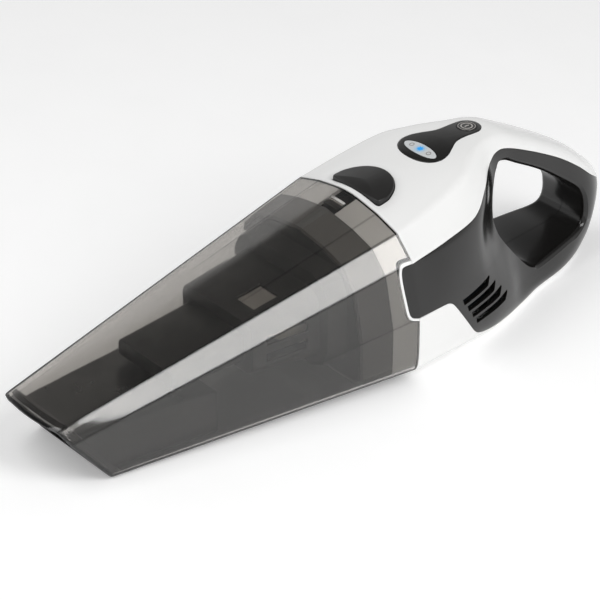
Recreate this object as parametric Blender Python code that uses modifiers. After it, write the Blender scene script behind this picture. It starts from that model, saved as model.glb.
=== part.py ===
"""Cordless hand vacuum with a pull-off dust bowl, built as separate parts.

Frame: metres, +Z up, +X to the right, the suction mouth towards -Y and the handle towards +Y.
The vacuum lies on Z = 0, and the origin is under the middle of its bounding box.
Along its length, drawings are measured from the rim, the plane where bowl and body meet.
"""
import math

import bmesh
import bpy

MM = 0.001

# ---- Driving dimensions, in millimetres ----
BOWL_LENGTH = 228.0          # rim to the upper lip of the mouth
BODY_LENGTH = 194.0          # rim to the back of the handle
HALF_WIDTH = 64.6            # at the rim
HEIGHT = 99.7                # of the rim
HANDLE_RISE = 11.3           # the handle's crest above the rim
BOWL_WALL = 2.2
SHELL_WALL = 2.4             # covers and side panels
GAP = 0.3                    # between pieces that touch
SLIDE_GAP = 0.5              # between pieces that slide past each other

MOUTH_HALF_WIDTH = 35.0
MOUTH_HEIGHT = 38.8
MOUTH_SLANT = 32.0           # the lower lip lies this far behind the upper lip
TUNNEL_WALL = 1.6
MOUTH_FLANGE = (0.965, 0.98)  # shares of the way from the rim to the mouth
TUNNEL_LENGTH = 96.0
FLAP_THICKNESS = 1.2

COLLAR_REACH = 16.0          # how far the collar reaches into the bowl
COLLAR_WALL = 2.2
COLLAR_BACK = 8.0            # the collar's bulkhead behind the rim
TONGUE_REACH = 9.0
TONGUE_EDGE = 1.8            # the collar's edge seen around the panel
SKIN = 1.6                   # the panel's thickness where it lies on the tongue
GASKET_END = 36.0
FILTER_WALL = 1.8
FILTER_FLANGE_END = 50.0
FILTER_BOX_END = 96.0
FILTER_NOSE_END = 147.0

FAN_RADIUS = 27.0
FAN_CLEARANCE = 3.0          # outside of the fan housing from the fan's edge
FAN_DEPTH = 12.0
FAN_BLADES = 9
FAN_HUB_RADIUS = 8.0
FAN_WALL = 1.8                # of the fan housing
FAN_SHELF = 1.5               # from the housing's front wall to the fan
FAN_PORTS = 6
FAN_PORT_RADIUS = 4.0
FAN_BORE = 16.0              # radius of the fan housing's inlet
MOTOR_RADIUS = 22.0
MOTOR_END_STATION = 72.0      # the body narrows for the handle behind this station
SHAFT_RADIUS = 2.0
MOUNT_WALL = 2.5
MOUNT_LENGTH = 6.0
CELL_RADIUS = 9.2
CELL_LENGTH = 65.0
CELL_COUNT = 3
CELL_FRONT = 32.0             # the first cell's axis behind the rim
CELL_SPACE = 1.4              # between two cells
HOLDER_FLOOR = 0.9            # under the cells

BUTTON_HALF_WIDTH = 21.5
BUTTON_DEPTH = 24.0
BUTTON_FRONT = 4.0           # behind the rim
BUTTON_PRESS = 3.0
BUTTON_THICKNESS = 6.5       # at its front
HOOK_HALF_WIDTH = 6.0
HOOK_REACH = 13.0            # how far the latch hook reaches into the bowl
HOOK_DEPTH = 5.0
HOOK_BACK = 11.5              # where the hook's arm ends behind the rim
SPRING_RADIUS = 3.2
SPRING_WIRE = 0.45            # radius of the wire
SPRING_TURNS = 4
SPRING_BACK = 20.0            # the spring's axis behind the rim
CATCH_RIB_FRONT = 8.5        # ahead of the rim
CATCH_RIB_WIDTH = 2.0
PANEL_FRONT = 45.0
PANEL_BACK = 99.0
PANEL_HALF_WIDTH = 17.5
PANEL_NECK = 8.5
PANEL_THICKNESS = 1.5
WINDOW_HALF_WIDTH = 13.4
WINDOW_HALF_DEPTH = 4.3
POWER_RADIUS = 6.0
POWER_PRESS = 0.8
VENT_COUNT = 4
VENT_LENGTH = 32.0
VENT_HEIGHT = 4.4
VENT_PITCH = (4.7, 5.9)       # back and down from one slot to the next
SCREW_HEAD_RADIUS = 3.2
SCREW_HEAD_HEIGHT = 2.2
SCREW_LENGTH = 10.0
SOCKET_RADIUS = 3.4

# ---- Drawn shape, scaled to the driving dimensions ----
# Sections of the body from the top centre, down the side, to the bottom centre, as (x, z),
# drawn 194 long, 64.6 half width and 99.7 high at the rim, the crest 11.3 above it.
DRAWN_LENGTH = 194.0
DRAWN_HALF_WIDTH = 64.6
DRAWN_HEIGHT = 99.7
BODY_SECTIONS = [
    (0, [(0, 99.7), (25.8, 95.2), (43.5, 89.8), (56.8, 76.9), (61.2, 58), (64.5, 43.4),
         (64.6, 10.7), (58.5, 4.5), (0, 4)]),
    (30, [(0, 104), (24, 101.5), (41.3, 97.3), (54.6, 79.8), (60, 60), (62.3, 41),
          (61, 11), (54.5, 3), (0, 2.5)]),
    (56, [(0, 108.3), (22, 107.2), (36.5, 104.3), (48, 82.5), (52.5, 61), (58, 36),
          (57, 9.5), (50, 1), (0, 0)]),
    (72, [(0, 110.2), (17, 109.6), (27.5, 108), (39, 90.5), (40, 64), (54, 31),
          (53.8, 9), (47.5, 0), (0, 0)]),
    (88, [(0, 111), (12, 110.3), (19, 108.8), (25, 97.5), (27.5, 66), (47, 28),
          (48.5, 8.5), (43, 0), (0, 0)]),
    (104, [(0, 109.8), (10, 109), (16, 106.5), (19.7, 99.5), (21.5, 70), (36, 26),
           (42, 8.5), (37.5, 0), (0, 0)]),
    (122, [(0, 101.5), (10, 100.5), (15.5, 98), (18.5, 92), (20, 70), (31, 22),
           (35.5, 9), (31.5, 1.6), (0, 0.8)]),
    (148, [(0, 87.5), (9.5, 86.5), (15, 84), (18, 78.5), (19.5, 58), (26, 24),
           (29, 11), (26, 3), (0, 2)]),
    (166, [(0, 76.5), (9.5, 75.3), (14.8, 72.6), (18, 66.5), (20, 50), (22.5, 28),
           (23, 14), (19, 5), (0, 4)]),
    (178, [(0, 67), (9, 65.5), (14, 62.5), (17, 56.5), (19, 44), (19.5, 28),
           (16.5, 15), (10, 8), (0, 6.5)]),
    (187, [(0, 58.5), (7, 57), (10.5, 54.5), (13, 50), (14.2, 42), (13.5, 32),
           (10, 24), (5.5, 20), (0, 18.5)]),
    (192, [(0, 51.5), (4.5, 50.5), (6.5, 49), (8, 46.5), (8.5, 42), (7.5, 38),
           (5.5, 34.5), (3, 32.5), (0, 32)]),
    (194, [(0, 45.5), (1.2, 45), (1.8, 44.4), (2.2, 43.5), (2.3, 42), (2, 40.8),
           (1.5, 40), (0.8, 39.5), (0, 39.3)]),
]
LAST_HOLLOW_SECTION = 166
# Side view outlines as (y, z), in the same drawing.
SEAM = [(0, 75.5), (30, 79.8), (56, 82.5), (72, 90.5), (88, 97.5), (95, 100.2), (104, 99.5),
        (122, 92), (148, 78.5), (166, 66.5), (178, 56.5), (187, 50), (192, 46.5), (200, 42)]
LOWER_SEAM = [(0, 43.2), (23, 43.6), (27, 42.2), (30, 38.8), (48, 14.5), (52, 10.5), (58, 8),
              (66, 6.8), (80, 6), (114.5, 4.6), (158, 5), (170, 5.6), (200, 7)]
FINGER_HOLE = [(97, 92), (106, 90), (117, 84), (134, 74.5), (148, 65), (164, 53), (169, 47),
               (171, 41), (171.5, 33), (169, 27), (162, 24), (147, 22), (125, 19.5), (118, 20),
               (112, 24), (104, 32.5), (93, 45.5), (87, 55), (85, 64), (88, 74), (92, 86),
               (94, 90)]
TONGUE = [(0.0, 77.4), (-0.72, 76.4), (-0.96, 73), (-1.0, 66), (-0.9, 54), (-0.8, 46.5),
          (-0.55, 43.2), (0.0, 41.6)]
# Half section of the mouth's edge, matched point for point to the rim: (x, z, slant share).
MOUTH_EDGE = [(0, 38.8, 0.0), (19, 38.6, 0.05), (25.2, 38, 0.11), (31, 29.5, 0.27),
              (32.3, 21, 0.49), (33.6, 13, 0.69), (35, 2.8, 0.95), (33, 0, 1.0), (0, 0, 1.0)]
DRAWN_MOUTH_HALF_WIDTH = 35.0
DRAWN_MOUTH_HEIGHT = 38.8
DRAWN_TONGUE_EDGE = 1.8

RIM_Y = (BOWL_LENGTH - BODY_LENGTH) / 2


# ---- Drawing to model ----
def body_y(y):
    """Distance behind the rim at full size, from the drawing."""
    return y * BODY_LENGTH / DRAWN_LENGTH


def body_z(z):
    """Height from the drawing; above the rim the rise of the handle's crest sets it."""
    drawn_rise = 11.3
    if z <= DRAWN_HEIGHT:
        return z * HEIGHT / DRAWN_HEIGHT
    return HEIGHT + (z - DRAWN_HEIGHT) * HANDLE_RISE / drawn_rise


def body_x(x):
    return x * HALF_WIDTH / DRAWN_HALF_WIDTH


def side_outline(points):
    """A side view outline from the drawing, as (y, z) behind the rim."""
    return [(body_y(y), body_z(z)) for y, z in points]


def tongue_outline(grow=0.0):
    """The tongue seen from the side, closed behind the rim; grow moves its free edge out.

    Its edge stands a fixed width outside the panel's tip, which scales with the body.
    """
    middle = 60.0
    reach = TONGUE_REACH + grow
    points = []
    for share, height in TONGUE:
        side = math.copysign(1.0, height - middle)
        tip = body_z(height - side * DRAWN_TONGUE_EDGE)
        points.append((share * reach, tip + side * (TONGUE_EDGE + grow)))
    back = TONGUE_REACH * 0.5
    return [(back, points[0][1])] + points + [(back, points[-1][1])]


def smooth_values(xs, values, x):
    """Catmull-Rom value at x through values given at xs."""
    last = len(xs) - 1
    i = min(max(k for k in range(len(xs)) if xs[k] <= x), last - 1)
    span = xs[i + 1] - xs[i]
    t = (x - xs[i]) / span

    def slope(k):
        a, b = max(k - 1, 0), min(k + 1, last)
        return (values[b] - values[a]) / (xs[b] - xs[a])

    h = (1 + 2 * t) * (1 - t) ** 2 * values[i] + t * t * (3 - 2 * t) * values[i + 1]
    return h + span * (t * (1 - t) ** 2 * slope(i) - t * t * (1 - t) * slope(i + 1))


def half_section(y):
    """Half section of the body at y (in the drawing), as (x, z) at full size.

    The underside is flat where the curve would pass below Z = 0.
    """
    ys = [row[0] for row in BODY_SECTIONS]
    points = []
    for k in range(len(BODY_SECTIONS[0][1])):
        x = smooth_values(ys, [row[1][k][0] for row in BODY_SECTIONS], y)
        z = smooth_values(ys, [row[1][k][1] for row in BODY_SECTIONS], y)
        points.append((body_x(x), body_z(max(z, 0.0))))
    return points


def spine_height(y):
    """Height of the top centre line at a full size distance behind the rim."""
    return half_section(y * DRAWN_LENGTH / BODY_LENGTH)[0][1]


def offset_loop(loop, distance):
    """A closed 2D loop moved inwards by distance, with mitred corners."""
    area = sum(a[0] * b[1] - b[0] * a[1] for a, b in zip(loop, loop[1:] + loop[:1]))
    side = math.copysign(1.0, area)
    moved = []
    for i, p in enumerate(loop):
        before, after = loop[i - 1], loop[(i + 1) % len(loop)]
        d1 = (p[0] - before[0], p[1] - before[1])
        d2 = (after[0] - p[0], after[1] - p[1])
        l1, l2 = math.hypot(*d1), math.hypot(*d2)
        n1 = (-d1[1] / l1 * side, d1[0] / l1 * side)
        n2 = (-d2[1] / l2 * side, d2[0] / l2 * side)
        bend = 1.0 + n1[0] * n2[0] + n1[1] * n2[1]
        reach = distance / max(bend, 0.5)
        moved.append((p[0] + (n1[0] + n2[0]) * reach, p[1] + (n1[1] + n2[1]) * reach))
    return moved


def mirrored(half):
    """A closed loop from a half section that starts and ends on the centre line."""
    return half + [(-x, z) for x, z in reversed(half[1:-1])]


def body_ring(y, inset):
    """Ring of the body's section at y (in the drawing), as full size (x, y, z)."""
    loop = offset_loop(mirrored(half_section(y)), inset)
    return [(x, body_y(y), z) for x, z in loop]


def bowl_ring(share, inset):
    """Ring of the bowl: share 0 is the rim and 1 the mouth; beyond them it runs straight on."""
    rim = mirrored(half_section(0))
    mouth_x = MOUTH_HALF_WIDTH / DRAWN_MOUTH_HALF_WIDTH
    mouth_z = MOUTH_HEIGHT / DRAWN_MOUTH_HEIGHT
    mouth_half = [(x * mouth_x, z * mouth_z) for x, z, _ in MOUTH_EDGE]
    slants = [row[2] for row in MOUTH_EDGE]
    slants += slants[-2:0:-1]
    rim_in = offset_loop(rim, inset)
    mouth_in = offset_loop(mirrored(mouth_half), inset)
    ring = []
    for (rx, rz), (mx, mz), slant in zip(rim_in, mouth_in, slants):
        depth = BOWL_LENGTH - slant * MOUTH_SLANT
        ring.append((rx + (mx - rx) * share, -depth * share, rz + (mz - rz) * share))
    return ring


def bowl_ring_at(y, inset):
    """The bowl's flat section at a distance y ahead of the rim (y is negative)."""
    rim = bowl_ring(0.0, inset)
    mouth = bowl_ring(1.0, inset)
    ring = []
    for r, m in zip(rim, mouth):
        t = (y - r[1]) / (m[1] - r[1])
        ring.append((r[0] + (m[0] - r[0]) * t, y, r[2] + (m[2] - r[2]) * t))
    return ring


# ---- Modelling helpers ----
def remove_everything():
    for item in list(bpy.data.objects):
        bpy.data.objects.remove(item, do_unlink=True)


def collection(name):
    group = bpy.data.collections.new(name)
    bpy.context.scene.collection.children.link(group)
    return group


def material(name, colour, roughness, metallic=0.0):
    made = bpy.data.materials.new(name)
    made.use_nodes = True
    shader = made.node_tree.nodes["Principled BSDF"]
    shader.inputs["Base Color"].default_value = (*colour, 1.0)
    shader.inputs["Roughness"].default_value = roughness
    shader.inputs["Metallic"].default_value = metallic
    return made


def make_object(name, mesh, centre=(0.0, 0.0, 0.0)):
    """A new part with its origin at centre, millimetres from the rim's foot."""
    made = bpy.data.objects.new(name, mesh)
    made.location = world(centre)
    PARTS.objects.link(made)
    return made


def world(point):
    """Model position in metres of a point in millimetres measured from the rim."""
    return (point[0] * MM, (point[1] + RIM_Y) * MM, point[2] * MM)


def mesh_from_bmesh(name, bm):
    bmesh.ops.recalc_face_normals(bm, faces=bm.faces[:])
    mesh = bpy.data.meshes.new(name)
    bm.to_mesh(mesh)
    bm.free()
    return mesh


def loft(name, rings, tube=False):
    """A solid skinned over rings of equal point count: with flat ends, or as a closed tube."""
    bm = bmesh.new()
    rows = [[bm.verts.new([c * MM for c in point]) for point in ring] for ring in rings]
    for row, following in zip(rows, rows[1:] + rows[:1] if tube else rows[1:]):
        for i in range(len(row)):
            j = (i + 1) % len(row)
            bm.faces.new((row[i], row[j], following[j], following[i]))
    if not tube:
        bm.faces.new(rows[0])
        bm.faces.new(rows[-1])
    return make_object(name, mesh_from_bmesh(name, bm))


def prism(name, outline, low, high, axis="X"):
    """A flat outline thickened along an axis: (y, z) along X, or (x, y) along Z."""
    curve = bpy.data.curves.new(name, "CURVE")
    curve.dimensions = "2D"
    curve.fill_mode = "BOTH"
    curve.extrude = (high - low) / 2 * MM
    spline = curve.splines.new("POLY")
    spline.points.add(len(outline) - 1)
    for point, (u, v) in zip(spline.points, outline):
        point.co = (u * MM, v * MM, 0.0, 1.0)
    spline.use_cyclic_u = True
    shape = bpy.data.objects.new(name, curve)
    PARTS.objects.link(shape)
    middle = (high + low) / 2
    if axis == "X":
        shape.rotation_euler = (math.pi / 2, 0.0, math.pi / 2)
        shape.location = world((middle, 0.0, 0.0))
    else:
        shape.location = world((0.0, 0.0, middle))
    bpy.context.view_layer.update()
    mesh = bpy.data.meshes.new_from_object(
        shape.evaluated_get(bpy.context.evaluated_depsgraph_get()))
    place = shape.matrix_world.copy()
    bpy.data.objects.remove(shape, do_unlink=True)
    bpy.data.curves.remove(curve)
    bm = bmesh.new()
    bm.from_mesh(mesh)
    bmesh.ops.remove_doubles(bm, verts=bm.verts[:], dist=0.000001)
    bmesh.ops.recalc_face_normals(bm, faces=bm.faces[:])
    bm.to_mesh(mesh)
    bm.free()
    made = make_object(name, mesh)
    made.matrix_world = place
    return made


def box(name, low, high, bevel=0.0):
    """A box between two corners, its edges rounded by bevel."""
    bm = bmesh.new()
    bmesh.ops.create_cube(bm, size=1.0)
    size = [(h - l) * MM for l, h in zip(low, high)]
    bmesh.ops.scale(bm, vec=size, verts=bm.verts[:])
    centre = [(h + l) / 2 for l, h in zip(low, high)]
    made = make_object(name, mesh_from_bmesh(name, bm), centre)
    if bevel:
        soften(made, bevel)
    return made


def rod(name, radius, length, centre, axis="Y", sides=24):
    """A cylinder centred on a point, lying along an axis."""
    bm = bmesh.new()
    bmesh.ops.create_cone(bm, cap_ends=True, segments=sides, radius1=radius * MM,
                          radius2=radius * MM, depth=length * MM)
    made = make_object(name, mesh_from_bmesh(name, bm), centre)
    made.rotation_euler = {"X": (0.0, math.pi / 2, 0.0), "Y": (math.pi / 2, 0.0, 0.0),
                           "Z": (0.0, 0.0, 0.0)}[axis]
    round_shading(made)
    return made


def turned(name, profile, centre, steps=28):
    """A piece turned about a line along Y: profile is (radius, y) around its outside."""
    mesh = bpy.data.meshes.new(name)
    # The profile is drawn in the XZ plane and turned about Z, then Z is laid along Y.
    verts = [(r * MM, 0.0, -y * MM) for r, y in profile]
    edges = [(i, i + 1) for i in range(len(verts) - 1)]
    if profile[0][0] > 0:
        edges.append((len(verts) - 1, 0))
    mesh.from_pydata(verts, edges, [])
    made = make_object(name, mesh, centre)
    made.rotation_euler = (math.pi / 2, 0.0, 0.0)
    screw = made.modifiers.new("turn", "SCREW")
    screw.steps = steps
    screw.render_steps = steps
    screw.use_merge_vertices = True
    screw.merge_threshold = 0.00001
    return made


def round_shading(piece):
    piece.data.shade_smooth()
    piece.data.set_sharp_from_angle(angle=math.radians(35))


def soften(piece, width, segments=1):
    bevel = piece.modifiers.new("soften", "BEVEL")
    bevel.width = width * MM
    bevel.segments = segments
    bevel.limit_method = "ANGLE"
    bevel.angle_limit = math.radians(40)


def boolean(piece, other, operation):
    change = piece.modifiers.new(operation.lower(), "BOOLEAN")
    change.operation = operation
    change.solver = "EXACT"
    change.object = other
    put_away(other)


def put_away(shape):
    """Make a shape a cutter: kept for the modifiers that use it, but not a part."""
    if shape.name in PARTS.objects:
        PARTS.objects.unlink(shape)
        CUTTERS.objects.link(shape)
    shape.hide_render = True
    shape.display_type = "WIRE"


def cut(piece, other):
    boolean(piece, other, "DIFFERENCE")


def keep(piece, other):
    boolean(piece, other, "INTERSECT")


def join(piece, other):
    boolean(piece, other, "UNION")


def finish(piece, surface):
    """Give a part its material."""
    piece.data.materials.clear()
    piece.data.materials.append(surface)
    return piece


# ---- Shared forms ----
def station_list(last):
    """Sections of the body and one between each pair, up to the last in the drawing."""
    ys = [row[0] for row in BODY_SECTIONS if row[0] <= last]
    stations = []
    for a, b in zip(ys, ys[1:]):
        stations += [a, (a + b) / 2] if b <= 166 else [a]
    return stations + [ys[-1]]


def body_form(name, inset, front=-30.0):
    """The body's outer form moved in by inset, run forward into the bowl's own form."""
    last = BODY_SECTIONS[-1][0]
    rings = [bowl_ring_at(front, inset)]
    rings += [body_ring(y, inset) for y in station_list(last if inset <= 0 else 187)]
    return loft(name, rings)


def body_cavity(front_inset):
    """The space inside the covers: thinner skin ahead of the rim, a wall round the hole."""
    rings = [bowl_ring_at(-30.0, front_inset), bowl_ring_at(-0.001, front_inset)]
    rings += [body_ring(y, SHELL_WALL) for y in station_list(LAST_HOLLOW_SECTION)]
    rings[2] = [(x, GAP, z) for x, _, z in rings[2]]
    space = loft("body_cavity", rings)
    hole_wall = offset_loop(side_outline(FINGER_HOLE), -SHELL_WALL)
    cut(space, prism("hole_wall", hole_wall, -200, 200))
    put_away(space)
    return space


def above_seam():
    """Side view region of the top cover."""
    line = [(y, z + GAP / 2) for y, z in side_outline(SEAM)]
    line[0] = (GAP, line[0][1])
    top = HEIGHT * 2
    return line + [(line[-1][0], top), (GAP, top)]


def below_lower_seam():
    """Side view region of the bottom cover."""
    line = [(y, z - GAP / 2) for y, z in side_outline(LOWER_SEAM)]
    line[0] = (GAP, line[0][1])
    return line + [(line[-1][0], -HEIGHT), (GAP, -HEIGHT)]


def between_seams():
    """Side view region of a side panel, with its tip on the tongue."""
    upper = [(y, z - GAP / 2) for y, z in side_outline(SEAM)][1:]
    lower = [(y, z + GAP / 2) for y, z in side_outline(LOWER_SEAM)][1:]
    tip = offset_loop(tongue_outline(), TONGUE_EDGE)[1:-1]
    return list(reversed(upper)) + tip + lower


# ---- Bowl ----
def make_bowl():
    """The bowl's outer rings from rim to mouth, then its inner rings back to the rim."""
    rings = []
    for inset in (0.0, BOWL_WALL):
        side = [[(x, -GAP, z) for x, _, z in bowl_ring(0.0, inset)]]
        side += [bowl_ring(share, inset) for share in (0.06, 0.18, 0.34, 0.54, 0.76, 1.0)]
        rings += side if inset == 0.0 else side[::-1]
    bowl = loft("dust_bowl", rings, tube=True)
    notch = tongue_outline(SLIDE_GAP)
    cut(bowl, prism("notch_right", notch, HALF_WIDTH * 0.75, HALF_WIDTH * 1.5))
    cut(bowl, prism("notch_left", notch, -HALF_WIDTH * 1.5, -HALF_WIDTH * 0.75))
    roof = bowl_ring_at(-CATCH_RIB_FRONT, BOWL_WALL)[0][2]
    rib = box("catch_rib", (-HOOK_HALF_WIDTH, -CATCH_RIB_FRONT, hook_top() + GAP),
              (HOOK_HALF_WIDTH, -CATCH_RIB_FRONT + CATCH_RIB_WIDTH, roof + 1.0))
    join(bowl, rib)
    return bowl


def tunnel_ring(y, inset):
    """Ring of the inlet tunnel at y: its top is flat and it widens with the bowl."""
    bowl = bowl_ring_at(y, BOWL_WALL + GAP)
    half_width = bowl[6][0] * 0.86
    floor = bowl[8][2] + inset
    top = MOUTH_HEIGHT * 0.8 - inset
    x = half_width - inset
    r = 3.0
    half = [(0, top), (x * 0.6, top), (x - r, top), (x - r * 0.3, top - r * 0.3), (x, top - r),
            (x, floor + r), (x - r * 0.3, floor + r * 0.3), (x - r, floor), (0, floor)]
    return [(px, y, pz) for px, pz in mirrored(half)]


def tunnel_start():
    return -(BOWL_LENGTH - 6.0)


def tunnel_end():
    return tunnel_start() + TUNNEL_LENGTH


def mouth_plane_cut(name, back):
    """A block ahead of the mouth's slanted plane, moved back along Y."""
    upper = (-BOWL_LENGTH + back, MOUTH_HEIGHT)
    lower = (-BOWL_LENGTH + MOUTH_SLANT + back, 0.0)
    slope = (lower[0] - upper[0]) / (lower[1] - upper[1])
    top = (upper[0] + slope * MOUTH_HEIGHT, upper[1] + MOUTH_HEIGHT)
    foot = (lower[0] - slope * MOUTH_HEIGHT, lower[1] - MOUTH_HEIGHT)
    far = -BOWL_LENGTH * 1.5
    return prism(name, [top, foot, (far, foot[1]), (far, top[1])], -HALF_WIDTH, HALF_WIDTH)


def make_tunnel():
    tunnel = loft("inlet_tunnel", [tunnel_ring(tunnel_start(), 0.0), tunnel_ring(tunnel_end(), 0.0)])
    edge = BOWL_WALL + SLIDE_GAP
    flange = loft("mouth_flange", [bowl_ring(share, edge) for share in MOUTH_FLANGE])
    join(tunnel, flange)
    inner = [tunnel_ring(tunnel_start() - 5, TUNNEL_WALL), tunnel_ring(tunnel_end() + 5, TUNNEL_WALL)]
    cut(tunnel, loft("tunnel_inside", inner))
    cut(tunnel, mouth_plane_cut("mouth_plane", 4.0))
    return tunnel


def flap_hinge():
    """The flap's hinge line: along the top of the tunnel's back edge."""
    top = MOUTH_HEIGHT * 0.8
    return (0.0, tunnel_end() + GAP + FLAP_THICKNESS / 2, top - FLAP_THICKNESS)


def make_flap():
    ring = tunnel_ring(tunnel_end(), 1.0)
    x = max(point[0] for point in ring)
    floor = min(point[2] for point in ring)
    hinge = flap_hinge()
    flap = box("inlet_flap", (-x, hinge[1] - FLAP_THICKNESS / 2, floor),
               (x, hinge[1] + FLAP_THICKNESS / 2, hinge[2]))
    move_origin(flap, hinge)
    return flap


def move_origin(piece, point):
    """Put a part's origin on a point without moving its shape."""
    bpy.context.view_layer.update()
    target = world(point)
    delta = [piece.location[i] - target[i] for i in range(3)]
    for vertex in piece.data.vertices:
        for i in range(3):
            vertex.co[i] += delta[i]
    piece.location = target


# ---- Filter ----
def make_gasket():
    """A sealing ring in front of the collar, its underside level with the bowl's rim."""
    inner = SHELL_WALL + GAP + COLLAR_WALL
    outer = SHELL_WALL + GAP
    floor = max(z for _, _, z in bowl_ring(0.0, outer) if z < HEIGHT * 0.1)
    outside = [[(x, y, max(z, floor)) for x, _, z in bowl_ring_at(y, outer)]
               for y in (-COLLAR_REACH - GAP, -GASKET_END)]
    gasket = loft("filter_gasket", outside)
    hollow = [bowl_ring_at(-COLLAR_REACH + 5, inner), bowl_ring_at(-GASKET_END - 5, inner)]
    cut(gasket, loft("gasket_inside", hollow))
    return gasket


def filter_half(top, bottom, half_width, r):
    """Half section of the filter housing with rounded corners."""
    return [(0, top), (half_width * 0.5, top), (half_width - r, top),
            (half_width - r * 0.3, top - r * 0.3), (half_width, top - r),
            (half_width, bottom + r), (half_width - r * 0.3, bottom + r * 0.3),
            (half_width - r, bottom), (0, bottom)]


def filter_rings(grow):
    """Rings of the filter housing, back to front; grow is minus the wall for its inside."""
    seat = SHELL_WALL + COLLAR_WALL + 2 * GAP

    def placed(half, y):
        return [(x, y, z) for x, z in offset_loop(mirrored(half), grow)]

    back = -COLLAR_REACH - 2.0
    shoulder = filter_half(body_z(76.5), body_z(13.5), body_x(44.0), 14.0)
    lip = filter_half(body_z(74.5), body_z(14.5), body_x(42.0), 14.0)
    box_back = filter_half(body_z(65.0), body_z(22.0), body_x(35.0), 7.0)
    box_front = filter_half(body_z(58.0), body_z(26.0), body_x(32.0), 6.0)
    return [
        bowl_ring_at(back + (5 if grow else 0), seat + grow),
        bowl_ring_at(-GASKET_END - 1.0 + grow, seat + grow),
        placed(shoulder, -GASKET_END - 1.0 + grow),
        placed(lip, -FILTER_FLANGE_END + grow),
        placed(box_back, -FILTER_FLANGE_END + grow),
        placed(box_front, -FILTER_BOX_END + grow),
    ]


def make_filter_frame():
    frame = loft("filter_frame", filter_rings(0.0))
    cut(frame, loft("filter_inside", filter_rings(FILTER_WALL)))
    window = box("filter_window", (3.0, -FILTER_BOX_END + 11, body_z(50.0)),
                 (20.0, -FILTER_BOX_END + 29, body_z(75.0)))
    cut(frame, window)
    for side in (-1, 1):
        for row in range(2):
            z = body_z(32.0) + row * 11.0
            slot = box("side_window", (side * HALF_WIDTH * 0.75 - 20, -FILTER_BOX_END + 10, z),
                       (side * HALF_WIDTH * 0.75 + 20, -FILTER_FLANGE_END - 8, z + 6.0))
            cut(frame, slot)
    return frame


def nose_ring(y, top, inset):
    bottom = MOUTH_HEIGHT * 0.8 + 2.4
    half_width = body_x(25.0)
    r = 3.0
    half = [(0, top), (half_width * 0.5, top), (half_width - r, top),
            (half_width - r * 0.3, top - r * 0.3), (half_width, top - r),
            (half_width, bottom + 2), (half_width - 0.5, bottom + 0.5),
            (half_width - 2, bottom), (0, bottom)]
    return [(x, y, z) for x, z in offset_loop(mirrored(half), inset)]


def make_filter_nose():
    back = -FILTER_BOX_END - GAP
    front = -FILTER_NOSE_END
    nose = loft("filter_nose", [nose_ring(back, body_z(50.5), 0), nose_ring(front, body_z(43.5), 0)])
    inner = [nose_ring(back + 5, body_z(50.5), FILTER_WALL),
             nose_ring(front + FILTER_WALL, body_z(43.5), FILTER_WALL)]
    cut(nose, loft("nose_inside", inner))
    return nose


def make_filter_medium():
    """The pleated filter: a zigzag block that stands in the filter box."""
    pleats = 7
    half_width = body_x(32.0) - FILTER_WALL - 2.5
    top = body_z(58.0) - FILTER_WALL - 1.5
    bottom = body_z(26.0) + FILTER_WALL + 1.5
    depth = 4.0
    pitch = 2 * half_width / pleats
    upper = []
    for i in range(pleats):
        x = -half_width + i * pitch
        upper += [(x, top - depth), (x + pitch / 2, top)]
    upper.append((half_width, top - depth))
    lower = [(-x, bottom + top - z) for x, z in upper]
    bm = bmesh.new()
    back = -FILTER_FLANGE_END + 4.0
    front = -FILTER_BOX_END + FILTER_WALL + 1.5
    verts = [bm.verts.new((x * MM, back * MM, z * MM)) for x, z in upper + lower]
    face = bm.faces.new(verts)
    extruded = bmesh.ops.extrude_face_region(bm, geom=[face])
    moved = [v for v in extruded["geom"] if isinstance(v, bmesh.types.BMVert)]
    bmesh.ops.translate(bm, vec=(0.0, (front - back) * MM, 0.0), verts=moved)
    return make_object("filter_medium", mesh_from_bmesh("filter_medium", bm))


# ---- Body shells ----
def fan_height():
    """Height of the motor and fan axis: the motor stands clear of the cells below it."""
    return cell_height() + CELL_RADIUS + 2.5 + MOTOR_RADIUS + MOUNT_WALL


def cell_height():
    return body_z(4.5) + SHELL_WALL + 1.2 + CELL_RADIUS


def make_collar():
    outer = SHELL_WALL + GAP
    back = COLLAR_BACK
    tail = body_ring(back * DRAWN_LENGTH / BODY_LENGTH, outer + 3 * GAP)
    ring = [bowl_ring_at(-COLLAR_REACH, outer), body_ring(0, outer),
            [(x, GAP, z) for x, _, z in body_ring(0, outer + 3 * GAP)], tail]
    collar = loft("front_collar", ring)
    for side in (-1, 1):
        low, high = sorted((side * HALF_WIDTH * 0.8, side * HALF_WIDTH * 1.5))
        tongue = body_form("tongue", 0.0)
        trimmed = [(min(y, -0.001), z) for y, z in tongue_outline()]
        keep(tongue, prism("tongue_side", trimmed, low, high))
        join(collar, tongue)
        pocket = prism("pocket_side", offset_loop(tongue_outline(), TONGUE_EDGE - GAP), low, high)
        cut(pocket, body_form("pocket_floor", SKIN + GAP))
        cut(collar, pocket)
    inner = outer + COLLAR_WALL
    hollow = [bowl_ring_at(-COLLAR_REACH - 5, inner), body_ring(0, inner),
              [(x, back - COLLAR_WALL, z) for x, _, z in body_ring(0, inner)]]
    cut(collar, loft("collar_inside", hollow))
    cut(collar, rod("air_opening", FAN_BORE + 4, 20, (0, back, fan_height()), sides=32))
    hook_room = box("hook_room", (-HOOK_HALF_WIDTH - 1.5, -COLLAR_REACH - 5, hook_top() - 14.0),
                    (HOOK_HALF_WIDTH + 1.5, back + 6, HEIGHT * 1.2))
    cut(collar, hook_room)
    room = prism("button_room", half_disc(SLIDE_GAP), button_foot() - BUTTON_PRESS - 1.0,
                 HEIGHT * 2, axis="Z")
    cut(collar, room)
    return collar


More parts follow.
